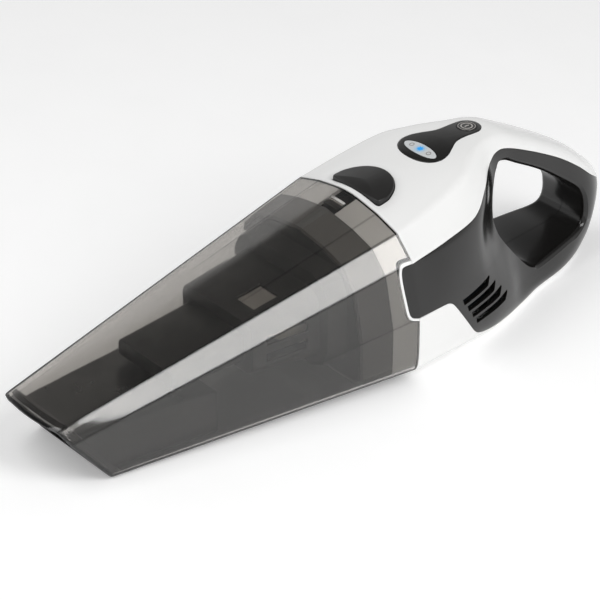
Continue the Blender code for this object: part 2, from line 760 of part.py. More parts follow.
def shell(name, region, low, high, cavity):
    """A shell of the body: its outer form inside a side view region, less the cavity."""
    made = body_form(name, 0.0)
    keep(made, prism(name + "_region", region, low, high))
    cut(made, cavity)
    cut(made, prism("finger_hole", side_outline(FINGER_HOLE), -200, 200))
    return made


def half_disc(grow):
    """The release button from above, as (x, y) behind the rim, grown by a clearance."""
    a = BUTTON_HALF_WIDTH + grow
    b = BUTTON_DEPTH + grow
    front = BUTTON_FRONT
    arc = [(a * math.cos(math.pi * i / 14), front + b * math.sin(math.pi * i / 14) ** 0.9)
           for i in range(1, 14)]
    return [(a, front + 3.0), (a - 1.5, front - grow)][::-1] + arc + \
        [(-a, front + 3.0), (-a + 1.5, front - grow)]


def panel_outline(grow):
    """The control panel from above: wide at its front, drawn in to a neck, round behind."""
    length = PANEL_BACK - PANEL_FRONT
    wide = PANEL_HALF_WIDTH + grow
    neck = PANEL_NECK + grow
    front, back = PANEL_FRONT - grow, PANEL_BACK + grow
    half = [(0.0, front), (wide * 0.45, front + length * 0.02), (wide * 0.8, front + length * 0.08),
            (wide * 0.97, front + length * 0.16), (wide, front + length * 0.23),
            (wide * 0.93, front + length * 0.32), (wide * 0.75, front + length * 0.42),
            (neck * 1.12, front + length * 0.53), (neck, front + length * 0.64),
            (neck, back - neck * 1.0), (neck * 0.87, back - neck * 0.5),
            (neck * 0.5, back - neck * 0.13), (0.0, back)]
    return half + [(-x, y) for x, y in reversed(half[1:-1])]


def make_top_cover(cavity):
    cover = shell("top_cover", above_seam(), -200, 200, cavity)
    cut(cover, prism("button_hole", half_disc(SLIDE_GAP), 0, HEIGHT * 2, axis="Z"))
    pocket = prism("panel_pocket", panel_outline(GAP), body_z(80), HEIGHT * 2, axis="Z")
    cut(pocket, body_form("panel_seat", PANEL_THICKNESS + GAP))
    cut(cover, pocket)
    cut(cover, rod("power_hole", POWER_RADIUS - 1.0, 20, power_centre(), axis="Z"))
    cut(cover, rod("lamp_hole", 2.6, 20, window_centre(), axis="Z", sides=12))
    return cover


def power_centre():
    y = PANEL_BACK - PANEL_NECK
    return (0.0, y, spine_height(y))


def window_centre():
    y = PANEL_FRONT + 9.5
    return (0.0, y, spine_height(y))


def make_side_panel(name, side, cavity):
    low, high = sorted((side * GAP / 2, side * 200))
    panel = shell(name, between_seams(), low, high, cavity)
    for i in range(VENT_COUNT):
        cut(panel, vent_slot(i, side))
    return panel


def vent_slot(i, side):
    """One exhaust slot, slightly rising to the back, with a slanted back end."""
    y = body_y(37.5) + VENT_PITCH[0] * i
    z = body_z(32.5) - VENT_PITCH[1] * i
    h = VENT_HEIGHT
    rise = VENT_LENGTH * 0.16
    outline = [(y, z + h), (y + 2.6, z - h * 0.15), (y + VENT_LENGTH, z + rise),
               (y + VENT_LENGTH - 1.5, z + rise + h * 0.75), (y + VENT_LENGTH - 5, z + rise + h)]
    low, high = sorted((side * HALF_WIDTH * 0.6, side * 200))
    return prism("vent", outline, low, high)


def make_bottom_cover(cavity):
    cover = shell("bottom_cover", below_lower_seam(), -200, 200, cavity)
    for x, y in screw_places():
        cut(cover, rod("screw_hole", SCREW_HEAD_RADIUS + GAP, 40, (x, y, 0), axis="Z", sides=16))
    hole = rod("socket_hole", SOCKET_RADIUS + GAP, 10, (0, socket_y(), 0), axis="Z", sides=20)
    cut(cover, hole)
    return cover


def screw_places():
    front = cell_y(0) - CELL_RADIUS - 2.0 - SCREW_HEAD_RADIUS - 3 * GAP
    return [(side * body_x(30.0), y) for side in (-1, 1) for y in (front, body_y(102))]


def socket_y():
    return body_y(122)


def make_screws():
    """A head sunk in the bottom cover and a shank above it, for each screw."""
    made = []
    for i, (x, y) in enumerate(screw_places()):
        foot = body_z(3.6)
        screw = rod("housing_screw_%d" % (i + 1), SCREW_HEAD_RADIUS, SCREW_HEAD_HEIGHT,
                    (x, y, foot + SCREW_HEAD_HEIGHT / 2), axis="Z", sides=14)
        shank = rod("shank", SCREW_HEAD_RADIUS * 0.5, SCREW_LENGTH,
                    (x, y, foot + 0.5 + SCREW_LENGTH / 2), axis="Z", sides=10)
        join(screw, shank)
        made.append(screw)
    return made


# ---- Controls ----
def button_foot():
    """Height of the release button's underside."""
    return HEIGHT - BUTTON_THICKNESS


def hook_top():
    """Height of the latch hook's top: clear of the bowl's roof at the corners of its tip."""
    crown, shoulder = bowl_ring_at(-HOOK_REACH, BOWL_WALL)[:2]
    share = HOOK_HALF_WIDTH / shoulder[0]
    return crown[2] + (shoulder[2] - crown[2]) * share - GAP


def make_release_button():
    button = prism("release_button", half_disc(0.0), button_foot(), HEIGHT * 2, axis="Z")
    keep(button, body_form("button_face", -0.9))
    return button


def make_latch_hook():
    """The hook's arm runs forward under the bowl's roof, with a barb at its tip."""
    barb_back = -CATCH_RIB_FRONT - 2 * GAP
    top = hook_top()
    hook = box("latch_hook", (-HOOK_HALF_WIDTH, -HOOK_REACH, top - HOOK_DEPTH),
               (HOOK_HALF_WIDTH, HOOK_BACK, top - 1.5), 0.6)
    join(hook, box("barb", (-HOOK_HALF_WIDTH, -HOOK_REACH, top - 3),
                   (HOOK_HALF_WIDTH, barb_back, top)))
    join(hook, box("riser", (-HOOK_HALF_WIDTH + 1, HOOK_BACK - 4.5, top - 3),
                   (HOOK_HALF_WIDTH - 1, HOOK_BACK - 0.5, button_foot() - GAP)))
    return hook


def make_release_spring():
    """A coil under the button, clear of the fan housing below by the button's travel."""
    top = button_foot() - GAP - SPRING_WIRE
    housing_top = fan_height() + FAN_RADIUS + FAN_CLEARANCE
    length = top - (housing_top + BUTTON_PRESS + 2 * GAP + SPRING_WIRE)
    per_turn = 10
    steps = SPRING_TURNS * per_turn
    places = []
    for i in range(steps + 1):
        angle = 2 * math.pi * i / per_turn
        places.append((SPRING_RADIUS * math.cos(angle),
                       SPRING_BACK + SPRING_RADIUS * math.sin(angle), top - length * i / steps))
    curve = bpy.data.curves.new("release_spring", "CURVE")
    curve.dimensions = "3D"
    curve.bevel_depth = SPRING_WIRE * MM
    curve.bevel_resolution = 1
    curve.use_fill_caps = True
    spline = curve.splines.new("POLY")
    spline.points.add(len(places) - 1)
    for point, place in zip(spline.points, places):
        point.co = (*world(place), 1.0)
    spring = bpy.data.objects.new("release_spring", curve)
    PARTS.objects.link(spring)
    return spring


def make_control_panel():
    panel = prism("control_panel", panel_outline(0.0), body_z(80), HEIGHT * 2, axis="Z")
    keep(panel, body_form("panel_face", -0.2))
    cut(panel, body_form("panel_back", PANEL_THICKNESS))
    cut(panel, rod("power_seat", POWER_RADIUS + GAP, 30, power_centre(), axis="Z"))
    cut(panel, prism("window_seat", window_outline(GAP), 0, HEIGHT * 2, axis="Z"))
    return panel


def window_outline(grow):
    cx, cy, _ = window_centre()
    a, b = WINDOW_HALF_WIDTH + grow, WINDOW_HALF_DEPTH + grow
    return [(cx + a * math.cos(2 * math.pi * i / 24), cy + b * math.sin(2 * math.pi * i / 24))
            for i in range(24)]


def make_window():
    window = prism("status_window", window_outline(0.0), body_z(80), HEIGHT * 2, axis="Z")
    keep(window, body_form("window_face", -0.1))
    cut(window, body_form("window_back", 1.4))
    return window


def make_power_button():
    """The power button: a cap over a stem that passes through the top cover."""
    x, y, z = power_centre()
    cap = rod("power_button", POWER_RADIUS, 20, (x, y, z), axis="Z", sides=28)
    keep(cap, body_form("power_face", -0.5))
    cut(cap, body_form("power_back", 0.6))
    stem = rod("power_stem", POWER_RADIUS - 2.0, 7.0, (x, y, z - 3.8), axis="Z", sides=20)
    join(cap, stem)
    return cap


def make_boards():
    x, y, z = window_centre()
    light = box("light_board", (-11, y - 8, z - 8.0), (11, y + 8, z - 6.6))
    lamp = rod("status_lamp", 2.2, 4.0, (x, y, z - 4.3), axis="Z", sides=12)
    control = box("control_board", (-13, body_y(76), z - 26.0), (13, body_y(76) + 1.6, z - 10.0))
    return light, lamp, control


# ---- Drive ----
def motor_front():
    return COLLAR_BACK + 2.0 + FAN_DEPTH + 6.0


def make_fan_housing():
    z = fan_height()
    front = COLLAR_BACK + GAP
    back = motor_front() - GAP
    outer = FAN_RADIUS + FAN_CLEARANCE
    wall = FAN_WALL
    profile = [(FAN_BORE, front), (outer, front), (outer, back - 4), (outer - 6, back),
               (SHAFT_RADIUS + 3, back), (SHAFT_RADIUS + 3, back - wall), (outer - 7, back - wall),
               (outer - wall, back - 5), (outer - wall, front + wall), (FAN_BORE, front + wall)]
    housing = turned("fan_housing", profile, (0, 0, z))
    reach = outer - 3 * FAN_PORT_RADIUS
    for k in range(FAN_PORTS):
        angle = 2 * math.pi / FAN_PORTS * (k + 0.35)
        centre = (reach * math.cos(angle), back, z + reach * math.sin(angle))
        port = rod("fan_port", FAN_PORT_RADIUS, 20, centre, sides=10)
        cut(housing, port)
    return housing


def fan_front():
    return COLLAR_BACK + GAP + FAN_WALL + FAN_SHELF


def make_fan():
    z = fan_height()
    front = fan_front()
    back = front + FAN_DEPTH - 3.0
    profile = [(SHAFT_RADIUS + GAP, front), (FAN_HUB_RADIUS, front + 1), (FAN_HUB_RADIUS, back - 1.5),
               (FAN_RADIUS, back - 1.5), (FAN_RADIUS, back), (SHAFT_RADIUS + GAP, back)]
    fan = turned("fan_impeller", profile, (0, 0, z), steps=28)
    for k in range(FAN_BLADES):
        angle = 2 * math.pi * k / FAN_BLADES
        blade = box("blade", (FAN_HUB_RADIUS - 1, -0.8, 0),
                    (FAN_RADIUS * 0.88, 0.8, back - front - 1.7))
        bpy.context.view_layer.update()
        for vertex in blade.data.vertices:
            x, t, d = (vertex.co[i] + (blade.location[i] - world((0, 0, 0))[i]) for i in range(3))
            lean = t + (x - FAN_HUB_RADIUS * MM) * 0.55
            vertex.co = (x * math.cos(angle) - lean * math.sin(angle), front * MM + 1.2 * MM + d,
                         x * math.sin(angle) + lean * math.cos(angle))
        fix_normals(blade)
        blade.location = world((0, 0, z))
        join(fan, blade)
    return fan


def fix_normals(piece):
    bm = bmesh.new()
    bm.from_mesh(piece.data)
    bmesh.ops.recalc_face_normals(bm, faces=bm.faces[:])
    bm.to_mesh(piece.data)
    bm.free()


def make_motor():
    z = fan_height()
    front = motor_front()
    back = body_y(MOTOR_END_STATION)
    profile = [(SHAFT_RADIUS + GAP, front), (MOTOR_RADIUS - 2, front), (MOTOR_RADIUS, front + 2),
               (MOTOR_RADIUS, back - 2), (MOTOR_RADIUS - 2, back), (6.0, back), (6.0, back + 3),
               (SHAFT_RADIUS + GAP, back + 3)]
    motor = turned("motor", profile, (0, 0, z))
    start = fan_front() + 0.5
    shaft = rod("motor_shaft", SHAFT_RADIUS, back + 2 - start, (0, (back + 2 + start) / 2, z),
                sides=16)
    mounts = []
    for name, y in (("motor_mount_front", front + 4), ("motor_mount_rear", back - 4 - MOUNT_LENGTH)):
        inner = MOTOR_RADIUS + GAP
        ring = [(inner, y), (inner + MOUNT_WALL, y), (inner + MOUNT_WALL, y + MOUNT_LENGTH),
                (inner, y + MOUNT_LENGTH)]
        mounts.append(turned(name, ring, (0, 0, z)))
    return motor, shaft, mounts


def cell_y(i):
    return CELL_FRONT + i * (2 * CELL_RADIUS + CELL_SPACE)


def make_cells():
    z = cell_height()
    return [rod("battery_cell_%d" % (i + 1), CELL_RADIUS, CELL_LENGTH, (0, cell_y(i), z), axis="X")
            for i in range(CELL_COUNT)]


def make_battery_holder():
    """A tray under the cells with a cradle for each."""
    z = cell_height()
    first, last = cell_y(0), cell_y(CELL_COUNT - 1)
    half = CELL_LENGTH / 2
    holder = box("battery_holder", (-half, first - CELL_RADIUS - 1.0, z - CELL_RADIUS - HOLDER_FLOOR),
                 (half, last + CELL_RADIUS + 1.0, z - CELL_RADIUS * 0.45))
    for i in range(CELL_COUNT):
        cut(holder, rod("cradle", CELL_RADIUS + GAP, CELL_LENGTH + 4, (0, cell_y(i), z), axis="X"))
    return holder


def make_charge_socket():
    """The charging socket in the underside: a flanged sleeve with a centre pin."""
    y = socket_y()
    floor = body_z(0.8)
    sleeve = rod("charge_socket", SOCKET_RADIUS, 8.0, (0, y, floor + 4.6), axis="Z", sides=20)
    cut(sleeve, rod("socket_bore", SOCKET_RADIUS - 1.0, 10, (0, y, floor), axis="Z", sides=16))
    join(sleeve, rod("socket_pin", 0.7, 7.0, (0, y, floor + 4.4), axis="Z", sides=8))
    return sleeve


# ---- Assembly ----
def main():
    remove_everything()
    smoke = material("smoked_plastic", (0.17, 0.15, 0.13), 0.12)
    white = material("white_plastic", (0.88, 0.88, 0.88), 0.25)
    dark = material("charcoal_plastic", (0.055, 0.055, 0.055), 0.25)
    black = material("black_plastic", (0.03, 0.03, 0.03), 0.4)
    grey_rubber = material("grey_rubber", (0.25, 0.25, 0.25), 0.7)
    black_rubber = material("black_rubber", (0.02, 0.02, 0.02), 0.75)
    paper = material("filter_paper", (0.75, 0.74, 0.7), 0.9)
    clear_grey = material("window_plastic", (0.72, 0.74, 0.76), 0.15)
    blue = material("blue_lamp", (0.02, 0.35, 0.85), 0.2)
    steel = material("steel", (0.6, 0.6, 0.62), 0.3, 1.0)
    zinc = material("zinc_plated", (0.55, 0.56, 0.58), 0.35, 1.0)
    green = material("circuit_board", (0.03, 0.22, 0.09), 0.5)
    wrap = material("cell_wrap", (0.05, 0.2, 0.45), 0.35)

    finish(make_bowl(), smoke)
    finish(make_tunnel(), black)
    finish(make_flap(), black_rubber)
    finish(make_gasket(), grey_rubber)
    finish(make_filter_frame(), black)
    finish(make_filter_nose(), black)
    finish(make_filter_medium(), paper)

    finish(make_collar(), white)
    cavity = body_cavity(SKIN)
    finish(make_top_cover(cavity), white)
    finish(make_side_panel("right_side_panel", 1, cavity), dark)
    finish(make_side_panel("left_side_panel", -1, cavity), dark)
    finish(make_bottom_cover(cavity), white)
    for screw in make_screws():
        finish(screw, zinc)

    finish(make_release_button(), black)
    finish(make_latch_hook(), black)
    finish(make_release_spring(), steel)
    finish(make_control_panel(), dark)
    finish(make_window(), clear_grey)
    finish(make_power_button(), black)
    light, lamp, control = make_boards()
    finish(light, green)
    finish(lamp, blue)
    finish(control, green)

    finish(make_fan_housing(), black)
    finish(make_fan(), dark)
    motor, shaft, mounts = make_motor()
    finish(motor, zinc)
    finish(shaft, steel)
    for mount in mounts:
        finish(mount, black_rubber)
    for cell in make_cells():
        finish(cell, wrap)
    finish(make_battery_holder(), black)
    finish(make_charge_socket(), black)


PARTS = collection("hand_vacuum")
CUTTERS = collection("cutters")
main()
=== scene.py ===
"""The looks of a cordless hand vacuum, laid out as an add-on with one operator for each piece.

Lengths in the drawings are millimetres. X is across the vacuum, Y is measured back from the rim,
where the dust bowl meets the body, and Z is the height above the floor.
"""

import math

import bpy
import numpy as np
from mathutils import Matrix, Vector
from mathutils.bvhtree import BVHTree


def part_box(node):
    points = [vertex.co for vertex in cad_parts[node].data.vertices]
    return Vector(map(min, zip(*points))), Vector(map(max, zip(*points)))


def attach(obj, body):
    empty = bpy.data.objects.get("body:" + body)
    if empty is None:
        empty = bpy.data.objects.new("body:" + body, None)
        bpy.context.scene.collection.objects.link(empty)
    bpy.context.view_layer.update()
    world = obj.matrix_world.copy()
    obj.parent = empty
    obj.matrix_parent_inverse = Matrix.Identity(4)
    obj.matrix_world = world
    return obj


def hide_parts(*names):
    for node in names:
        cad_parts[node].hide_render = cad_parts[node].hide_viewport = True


bl_info = {
    "name": "Hand Vacuum",
    "version": (1, 0, 0),
    "blender": (4, 5, 0),
    "location": "3D View > Sidebar > Hand Vacuum",
    "description": "Models the looks of a cordless hand vacuum around its packed frame",
    "category": "Add Mesh",
}

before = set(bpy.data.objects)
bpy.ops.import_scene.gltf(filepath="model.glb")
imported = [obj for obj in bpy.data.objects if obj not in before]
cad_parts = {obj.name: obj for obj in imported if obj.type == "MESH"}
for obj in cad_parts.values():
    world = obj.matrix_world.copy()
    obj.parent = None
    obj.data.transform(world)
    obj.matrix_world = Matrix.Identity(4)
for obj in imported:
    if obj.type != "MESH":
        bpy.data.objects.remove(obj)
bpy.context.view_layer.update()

MM = 0.001
GAP = 0.3  # between pieces that touch
SLIDE_GAP = 0.5  # between pieces that slide past each other
RIM_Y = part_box("top_cover")[0].y / MM - GAP
BOWL_LENGTH = RIM_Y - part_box("dust_bowl")[0].y / MM
BODY_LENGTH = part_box("right_side_panel")[1].y / MM - RIM_Y
COLLAR_REACH = 16.0  # how far the collar reaches into the bowl
COLLAR_BACK = 8.0  # how far it runs back inside the covers
COLLAR_WALL = 2.2
COLLAR_CUTS = 1.9  # depth at which the cuts under the tongues end
MOUTH_SLANT = 32.0  # the lower lip lies this far behind the upper lip
TONGUE_REACH = 9.0
TONGUE_EDGE = 1.8  # the collar's edge seen around the panel's tip
HOLE_WALL = 5.0  # kept solid around the finger hole
BODY_SIDE = 90.0  # beyond the body's sides
WINDOW_Y = 54.5
POWER_Y = 90.5
LAMP_MARK_X = 7.4
DISH_Y = 5.0
DISH_HALF_WIDTH = 27.5
DISH_LENGTH = 29.0

# Half sections of the body, from its top centre down the side to its bottom centre.
BODY_SECTIONS = [
    (0, [(0, 99.7), (25.8, 95.2), (43.5, 89.8), (56.8, 76.9), (61.2, 58), (64.5, 43.4),
         (64.6, 10.7), (58.5, 4.5), (0, 4)]),
    (30, [(0, 104), (24, 101.5), (41.3, 97.3), (54.6, 79.8), (60, 60), (62.3, 41),
          (61, 11), (54.5, 3), (0, 2.5)]),
    (56, [(0, 108.3), (22, 107.2), (36.5, 104.3), (48, 82.5), (52.5, 61), (58, 36),
          (57, 9.5), (50, 1), (0, 0)]),
    (72, [(0, 110.2), (17, 109.6), (27.5, 108), (39, 90.5), (40, 64), (54, 31),
          (53.8, 9), (47.5, 0), (0, 0)]),
    (88, [(0, 111), (12, 110.3), (19, 108.8), (25, 97.5), (27.5, 66), (47, 28),
          (48.5, 8.5), (43, 0), (0, 0)]),
    (104, [(0, 109.8), (10, 109), (16, 106.5), (19.7, 99.5), (21.5, 70), (36, 26),
           (42, 8.5), (37.5, 0), (0, 0)]),
    (122, [(0, 101.5), (10, 100.5), (15.5, 98), (18.5, 92), (20, 70), (31, 22),
           (35.5, 9), (31.5, 1.6), (0, 0.8)]),
    (148, [(0, 87.5), (9.5, 86.5), (15, 84), (18, 78.5), (19.5, 58), (26, 24),
           (29, 11), (26, 3), (0, 2)]),
    (166, [(0, 76.5), (9.5, 75.3), (14.8, 72.6), (18, 66.5), (20, 50), (22.5, 28),
           (23, 14), (19, 5), (0, 4)]),
    (178, [(0, 67), (9, 65.5), (14, 62.5), (17, 56.5), (19, 44), (19.5, 28),
           (16.5, 15), (10, 8), (0, 6.5)]),
    (187, [(0, 58.5), (7, 57), (10.5, 54.5), (13, 50), (14.2, 42), (13.5, 32),
           (10, 24), (5.5, 20), (0, 18.5)]),
    (192, [(0, 51.5), (4.5, 50.5), (6.5, 49), (8, 46.5), (8.5, 42), (7.5, 38),
           (5.5, 34.5), (3, 32.5), (0, 32)]),
    (194, [(0, 45.5), (1.2, 45), (1.8, 44.4), (2.2, 43.5), (2.3, 42), (2, 40.8),
           (1.5, 40), (0.8, 39.5), (0, 39.3)]),
]
STATIONS = np.array([row[0] for row in BODY_SECTIONS], float)
HALVES = np.array([row[1] for row in BODY_SECTIONS], float)
# How far each corner of a half section is eased: 99 runs the curve into its neighbours.
BODY_EASE = [
    (0, (99, 6, 1.6, 1.6, 99, 1.6, 14, 9, 99)),
    (10, (99, 30, 1.8, 2, 99, 4, 14, 9, 99)),
    (30, (99, 99, 2.4, 3, 99, 20, 14, 9, 99)),
    (56, (99, 99, 3.5, 6, 99, 99, 14, 9, 99)),
    (80, (99, 99, 10, 12, 99, 99, 14, 9, 99)),
    (104, (99, 99, 99, 99, 99, 99, 16, 12, 99)),
    (150, (99, 99, 99, 99, 99, 99, 99, 99, 99)),
    (194, (99, 99, 99, 99, 99, 99, 99, 99, 99)),
]
# The same for the bowl, by share of the way from the rim to the mouth.
BOWL_EASE = [
    (0, (99, 1.0, 1.0, 1.0, 99, 1.0, 14, 9, 99)),
    (0.3, (99, 3, 0.9, 0.9, 99, 2, 12, 7, 99)),
    (0.5, (99, 99, 0.8, 0.8, 99, 99, 9, 5, 99)),
    (1, (99, 99, 0.8, 0.8, 99, 99, 4, 2, 99)),
]
# Half section of the mouth's edge: across, up, and share of the mouth's slant.
MOUTH_EDGE = [(0, 38.8, 0.0), (19, 38.6, 0.05), (25.2, 38, 0.11), (31, 29.5, 0.27),
              (32.3, 21, 0.49), (33.6, 13, 0.69), (35, 2.8, 0.95), (33, 0, 1.0), (0, 0, 1.0)]
# Outlines in side view.
SEAM = [(0, 75.5), (30, 79.8), (56, 82.5), (72, 90.5), (88, 97.5), (95, 100.2), (104, 99.5),
        (122, 92), (148, 78.5), (166, 66.5), (178, 56.5), (187, 50), (192, 46.5), (200, 42)]
LOWER_SEAM = [(0, 43.2), (23, 43.6), (27, 42.2), (30, 38.8), (48, 14.5), (52, 10.5), (58, 8),
              (66, 6.8), (80, 6), (114.5, 4.6), (158, 5), (170, 5.6), (200, 7)]
FINGER_HOLE = [(97, 92), (106, 90), (117, 84), (134, 74.5), (148, 65), (164, 53), (169, 47),
               (171, 41), (171.5, 33), (169, 27), (162, 24), (147, 22), (125, 19.5), (118, 20),
               (112, 24), (104, 32.5), (93, 45.5), (87, 55), (85, 64), (88, 74), (92, 86),
               (94, 90)]
TONGUE = [(0.0, 77.4), (-0.72, 76.4), (-0.96, 73), (-1.0, 66), (-0.9, 54), (-0.8, 46.5),
          (-0.55, 43.2), (0.0, 41.6)]


# ---- Colours ----
def linear(hex_colour):
    """An sRGB hex colour as linear red, green and blue."""
    parts = [int(hex_colour[i:i + 2], 16) / 255 for i in (1, 3, 5)]
    return tuple(c / 12.92 if c <= 0.04045 else ((c + 0.055) / 1.055) ** 2.4 for c in parts)


def colour_property(name, description, hex_colour):
    return bpy.props.FloatVectorProperty(name=name, description=description, subtype="COLOR",
                                         min=0.0, max=1.0, default=linear(hex_colour))


def length_property(name, description, millimetres):
    return bpy.props.FloatProperty(name=name, description=description, unit="LENGTH",
                                   min=0.0, default=millimetres * MM)


class HandVacuumSettings(bpy.types.PropertyGroup):
    """Sizes and colours of the hand vacuum."""
    cover_wall: length_property("Cover Wall", "Thickness of the covers and side panels", 2.4)
    bowl_wall: length_property("Bowl Wall", "Thickness of the dust bowl", 2.2)
    hole_round: length_property("Finger Hole Rounding", "Rounding of the finger hole's rim", 4.0)
    dish_depth: length_property("Dish Depth", "Depth of the dish around the release button", 1.5)
    button_rise: length_property("Button Rise", "How far the release button stands proud", 2.4)
    vent_height: length_property("Vent Height", "Height of one exhaust slot", 4.2)
    vent_count: bpy.props.IntProperty(name="Vents", description="Exhaust slots on each side",
                                      min=1, max=5, default=4)
    cover_colour: colour_property("Covers", "White covers and collar", "#F2F2F1")
    panel_colour: colour_property("Side Panels", "Dark side panels and control panel", "#151413")
    smoke_colour: colour_property("Dust Bowl", "Tint of the smoked dust bowl", "#E8E5E1")
    button_colour: colour_property("Buttons", "Release and power buttons", "#1B1A19")
    filter_colour: colour_property("Filter", "Moulded filter housing", "#1D1C1B")
    lamp_colour: colour_property("Lamp", "Lit mark in the status window", "#1F8FD8")


def settings():
    return bpy.context.scene.hand_vacuum


def in_mm(length):
    """A setting's length in the millimetres that the drawings use."""
    return length / MM


# ---- Drawn curves ----
def table_row(table, place):
    """Row of a table of (place, values), with straight lines between its rows."""
    places = [row[0] for row in table]
    return np.array([np.interp(place, places, [row[1][k] for row in table])
                     for k in range(len(table[0][1]))])


def half_section(y):
    """Half section of the body at y, on a smooth curve through the drawn sections."""
    last = len(STATIONS) - 1
    i = int(np.clip(np.searchsorted(STATIONS, y, side="right") - 1, 0, last - 1))
    span = STATIONS[i + 1] - STATIONS[i]
    t = (y - STATIONS[i]) / span

    def slope(k):
        a, b = max(k - 1, 0), min(k + 1, last)
        return (HALVES[b] - HALVES[a]) / (STATIONS[b] - STATIONS[a])

    half = ((1 + 2 * t) * (1 - t) ** 2 * HALVES[i] + t * t * (3 - 2 * t) * HALVES[i + 1]
            + span * (t * (1 - t) ** 2 * slope(i) - t * t * (1 - t) * slope(i + 1)))
    half[:, 1] = np.maximum(half[:, 1], 0.0)
    return half


def mirrored(half):
    """A closed loop from a half section that starts and ends on the centre line."""
    half = np.array(half, float)
    other = half[-2:0:-1].copy()
    other[:, 0] *= -1
    return np.vstack([half, other])


def offset_loop(loop, distance):
    """A closed flat loop moved inwards by distance, with mitred corners."""
    loop = np.asarray(loop, float)
    after = np.roll(loop, -1, axis=0)
    area = np.sum(loop[:, 0] * after[:, 1] - after[:, 0] * loop[:, 1])
    run = after - loop
    run /= np.linalg.norm(run, axis=1)[:, None]
    out = np.stack([-run[:, 1], run[:, 0]], axis=1) * math.copysign(1.0, area)
    before = np.roll(out, 1, axis=0)
    bend = np.maximum(1.0 + np.sum(out * before, axis=1), 0.5)
    return loop + (out + before) * (distance / bend)[:, None]


def eased(loop, reach, corner_points=7, between=2):
    """A closed loop whose corners are eased into curves, each by its reach in millimetres."""
    loop = np.asarray(loop, float)
    count = len(loop)
    reach = np.full(count, float(reach)) if np.isscalar(reach) else np.asarray(reach, float)
    between = [between] * count if np.isscalar(between) else between
    t = np.linspace(0.0, 1.0, corner_points)[:, None]
    starts, ends = [], []
    for k in range(count):
        here, before, after = loop[k], loop[k - 1], loop[(k + 1) % count]
        back, on = before - here, after - here
        starts.append(here + back * min(0.47, reach[k] / np.linalg.norm(back)))
        ends.append(here + on * min(0.47, reach[k] / np.linalg.norm(on)))
    points = []
    for k in range(count):
        curve = (1 - t) ** 2 * starts[k] + 2 * t * (1 - t) * loop[k] + t * t * ends[k]
        points.extend(curve)
        following = starts[(k + 1) % count]
        for step in range(1, between[k] + 1):
            points.append(ends[k] + (following - ends[k]) * step / (between[k] + 1))
    return np.array(points)


def smooth_line(points, steps=8):
    """A smooth open line through points."""
    points = np.asarray(points, float)
    padded = np.vstack([2 * points[0] - points[1], points, 2 * points[-1] - points[-2]])
    line = []
    for a, b, c, d in zip(padded, padded[1:], padded[2:], padded[3:]):
        for step in range(steps):
            t = step / steps
            line.append(0.5 * (2 * b + (c - a) * t + (2 * a - 5 * b + 4 * c - d) * t * t
                               + (3 * b - a - 3 * c + d) * t ** 3))
    line.append(points[-1])
    return np.array(line)


def smooth_loop(points, steps=8):
    """A smooth closed line through points."""
    points = np.asarray(points, float)
    around = np.vstack([points[-1:], points, points[:2]])
    return smooth_line(around, steps)[steps:-steps - 1]


# Points between one eased corner and the next, dense across the roof and the floor.
SPINE_SPLIT = [9, 9, 2, 2, 2, 2, 2, 2, 2, 2, 2, 2, 2, 2, 9, 9]


def ring_from(loop, ease, y):
    """A dense ring of a section: the loop's corners eased, at y or with its own depths."""
    both = np.concatenate([ease, ease[-2:0:-1]])
    dense = eased(loop, both, between=SPINE_SPLIT)
    if dense.shape[1] == 3:
        return dense
    return np.column_stack([dense[:, 0], np.full(len(dense), y), dense[:, 1]])


def bowl_ends(inset):
    """Corners of the bowl's rim and of its mouth, and how far the mouth slants back at each."""
    half = np.array(MOUTH_EDGE)
    slants = np.concatenate([half[:, 2], half[-2:0:-1, 2]]) * MOUTH_SLANT
    return (offset_loop(mirrored(HALVES[0]), inset), offset_loop(mirrored(half[:, :2]), inset),
            slants)


def bowl_ring(share, inset):
    """Ring of the bowl: share 0 is the rim and 1 the mouth's slanted edge."""
    rim, mouth, slants = bowl_ends(inset)
    loop = rim + (mouth - rim) * share
    depth = -(BOWL_LENGTH - slants) * share
    corners = np.column_stack([loop[:, 0], depth, loop[:, 1]])
    return ring_from(corners, table_row(BOWL_EASE, share), 0.0)


def bowl_section(y, inset):
    """The bowl's corners in a flat section at y, which is ahead of the rim."""
    rim, mouth, slants = bowl_ends(inset)
    share = -y / (BOWL_LENGTH - slants)
    return rim + (mouth - rim) * share[:, None]


def body_ring(y, inset=0.0):
    """Ring of the body at y, or of the bowl's form where y is ahead of the rim."""
    if y < 0:
        return ring_from(bowl_section(y, inset), table_row(BOWL_EASE, -y / BOWL_LENGTH), y)
    return ring_from(offset_loop(mirrored(half_section(y)), inset), table_row(BODY_EASE, y), y)


def top_height(x, y):
    """Height of the body's top surface above a point."""
    ring = body_ring(y)
    upper = ring[:len(ring) // 4]
    return float(np.interp(abs(x), upper[:, 0], upper[:, 2]))


def side_reach(y, z):
    """Half width of the body at a height, y behind the rim."""
    ring = body_ring(min(max(y, 0.0), BODY_LENGTH))
    side = ring[:len(ring) // 2 + 1]
    widest = side[np.argsort(side[:, 2])]
    return float(np.interp(z, widest[:, 2], widest[:, 0]))


# ---- Modelling ----
surfaces = {}


def select_only(piece):
    """Make a piece the one that is selected and active."""
    bpy.ops.object.select_all(action="DESELECT")
    piece.select_set(True)
    bpy.context.view_layer.objects.active = piece


def edit(piece, *steps):
    """Run edit mode steps on all of a piece: each step is an operator and its settings."""
    select_only(piece)
    bpy.ops.object.mode_set(mode="EDIT")
    bpy.ops.mesh.select_mode(type="VERT")
    bpy.ops.mesh.select_all(action="SELECT")
    for operator, options in steps:
        operator(**options)
    bpy.ops.object.mode_set(mode="OBJECT")


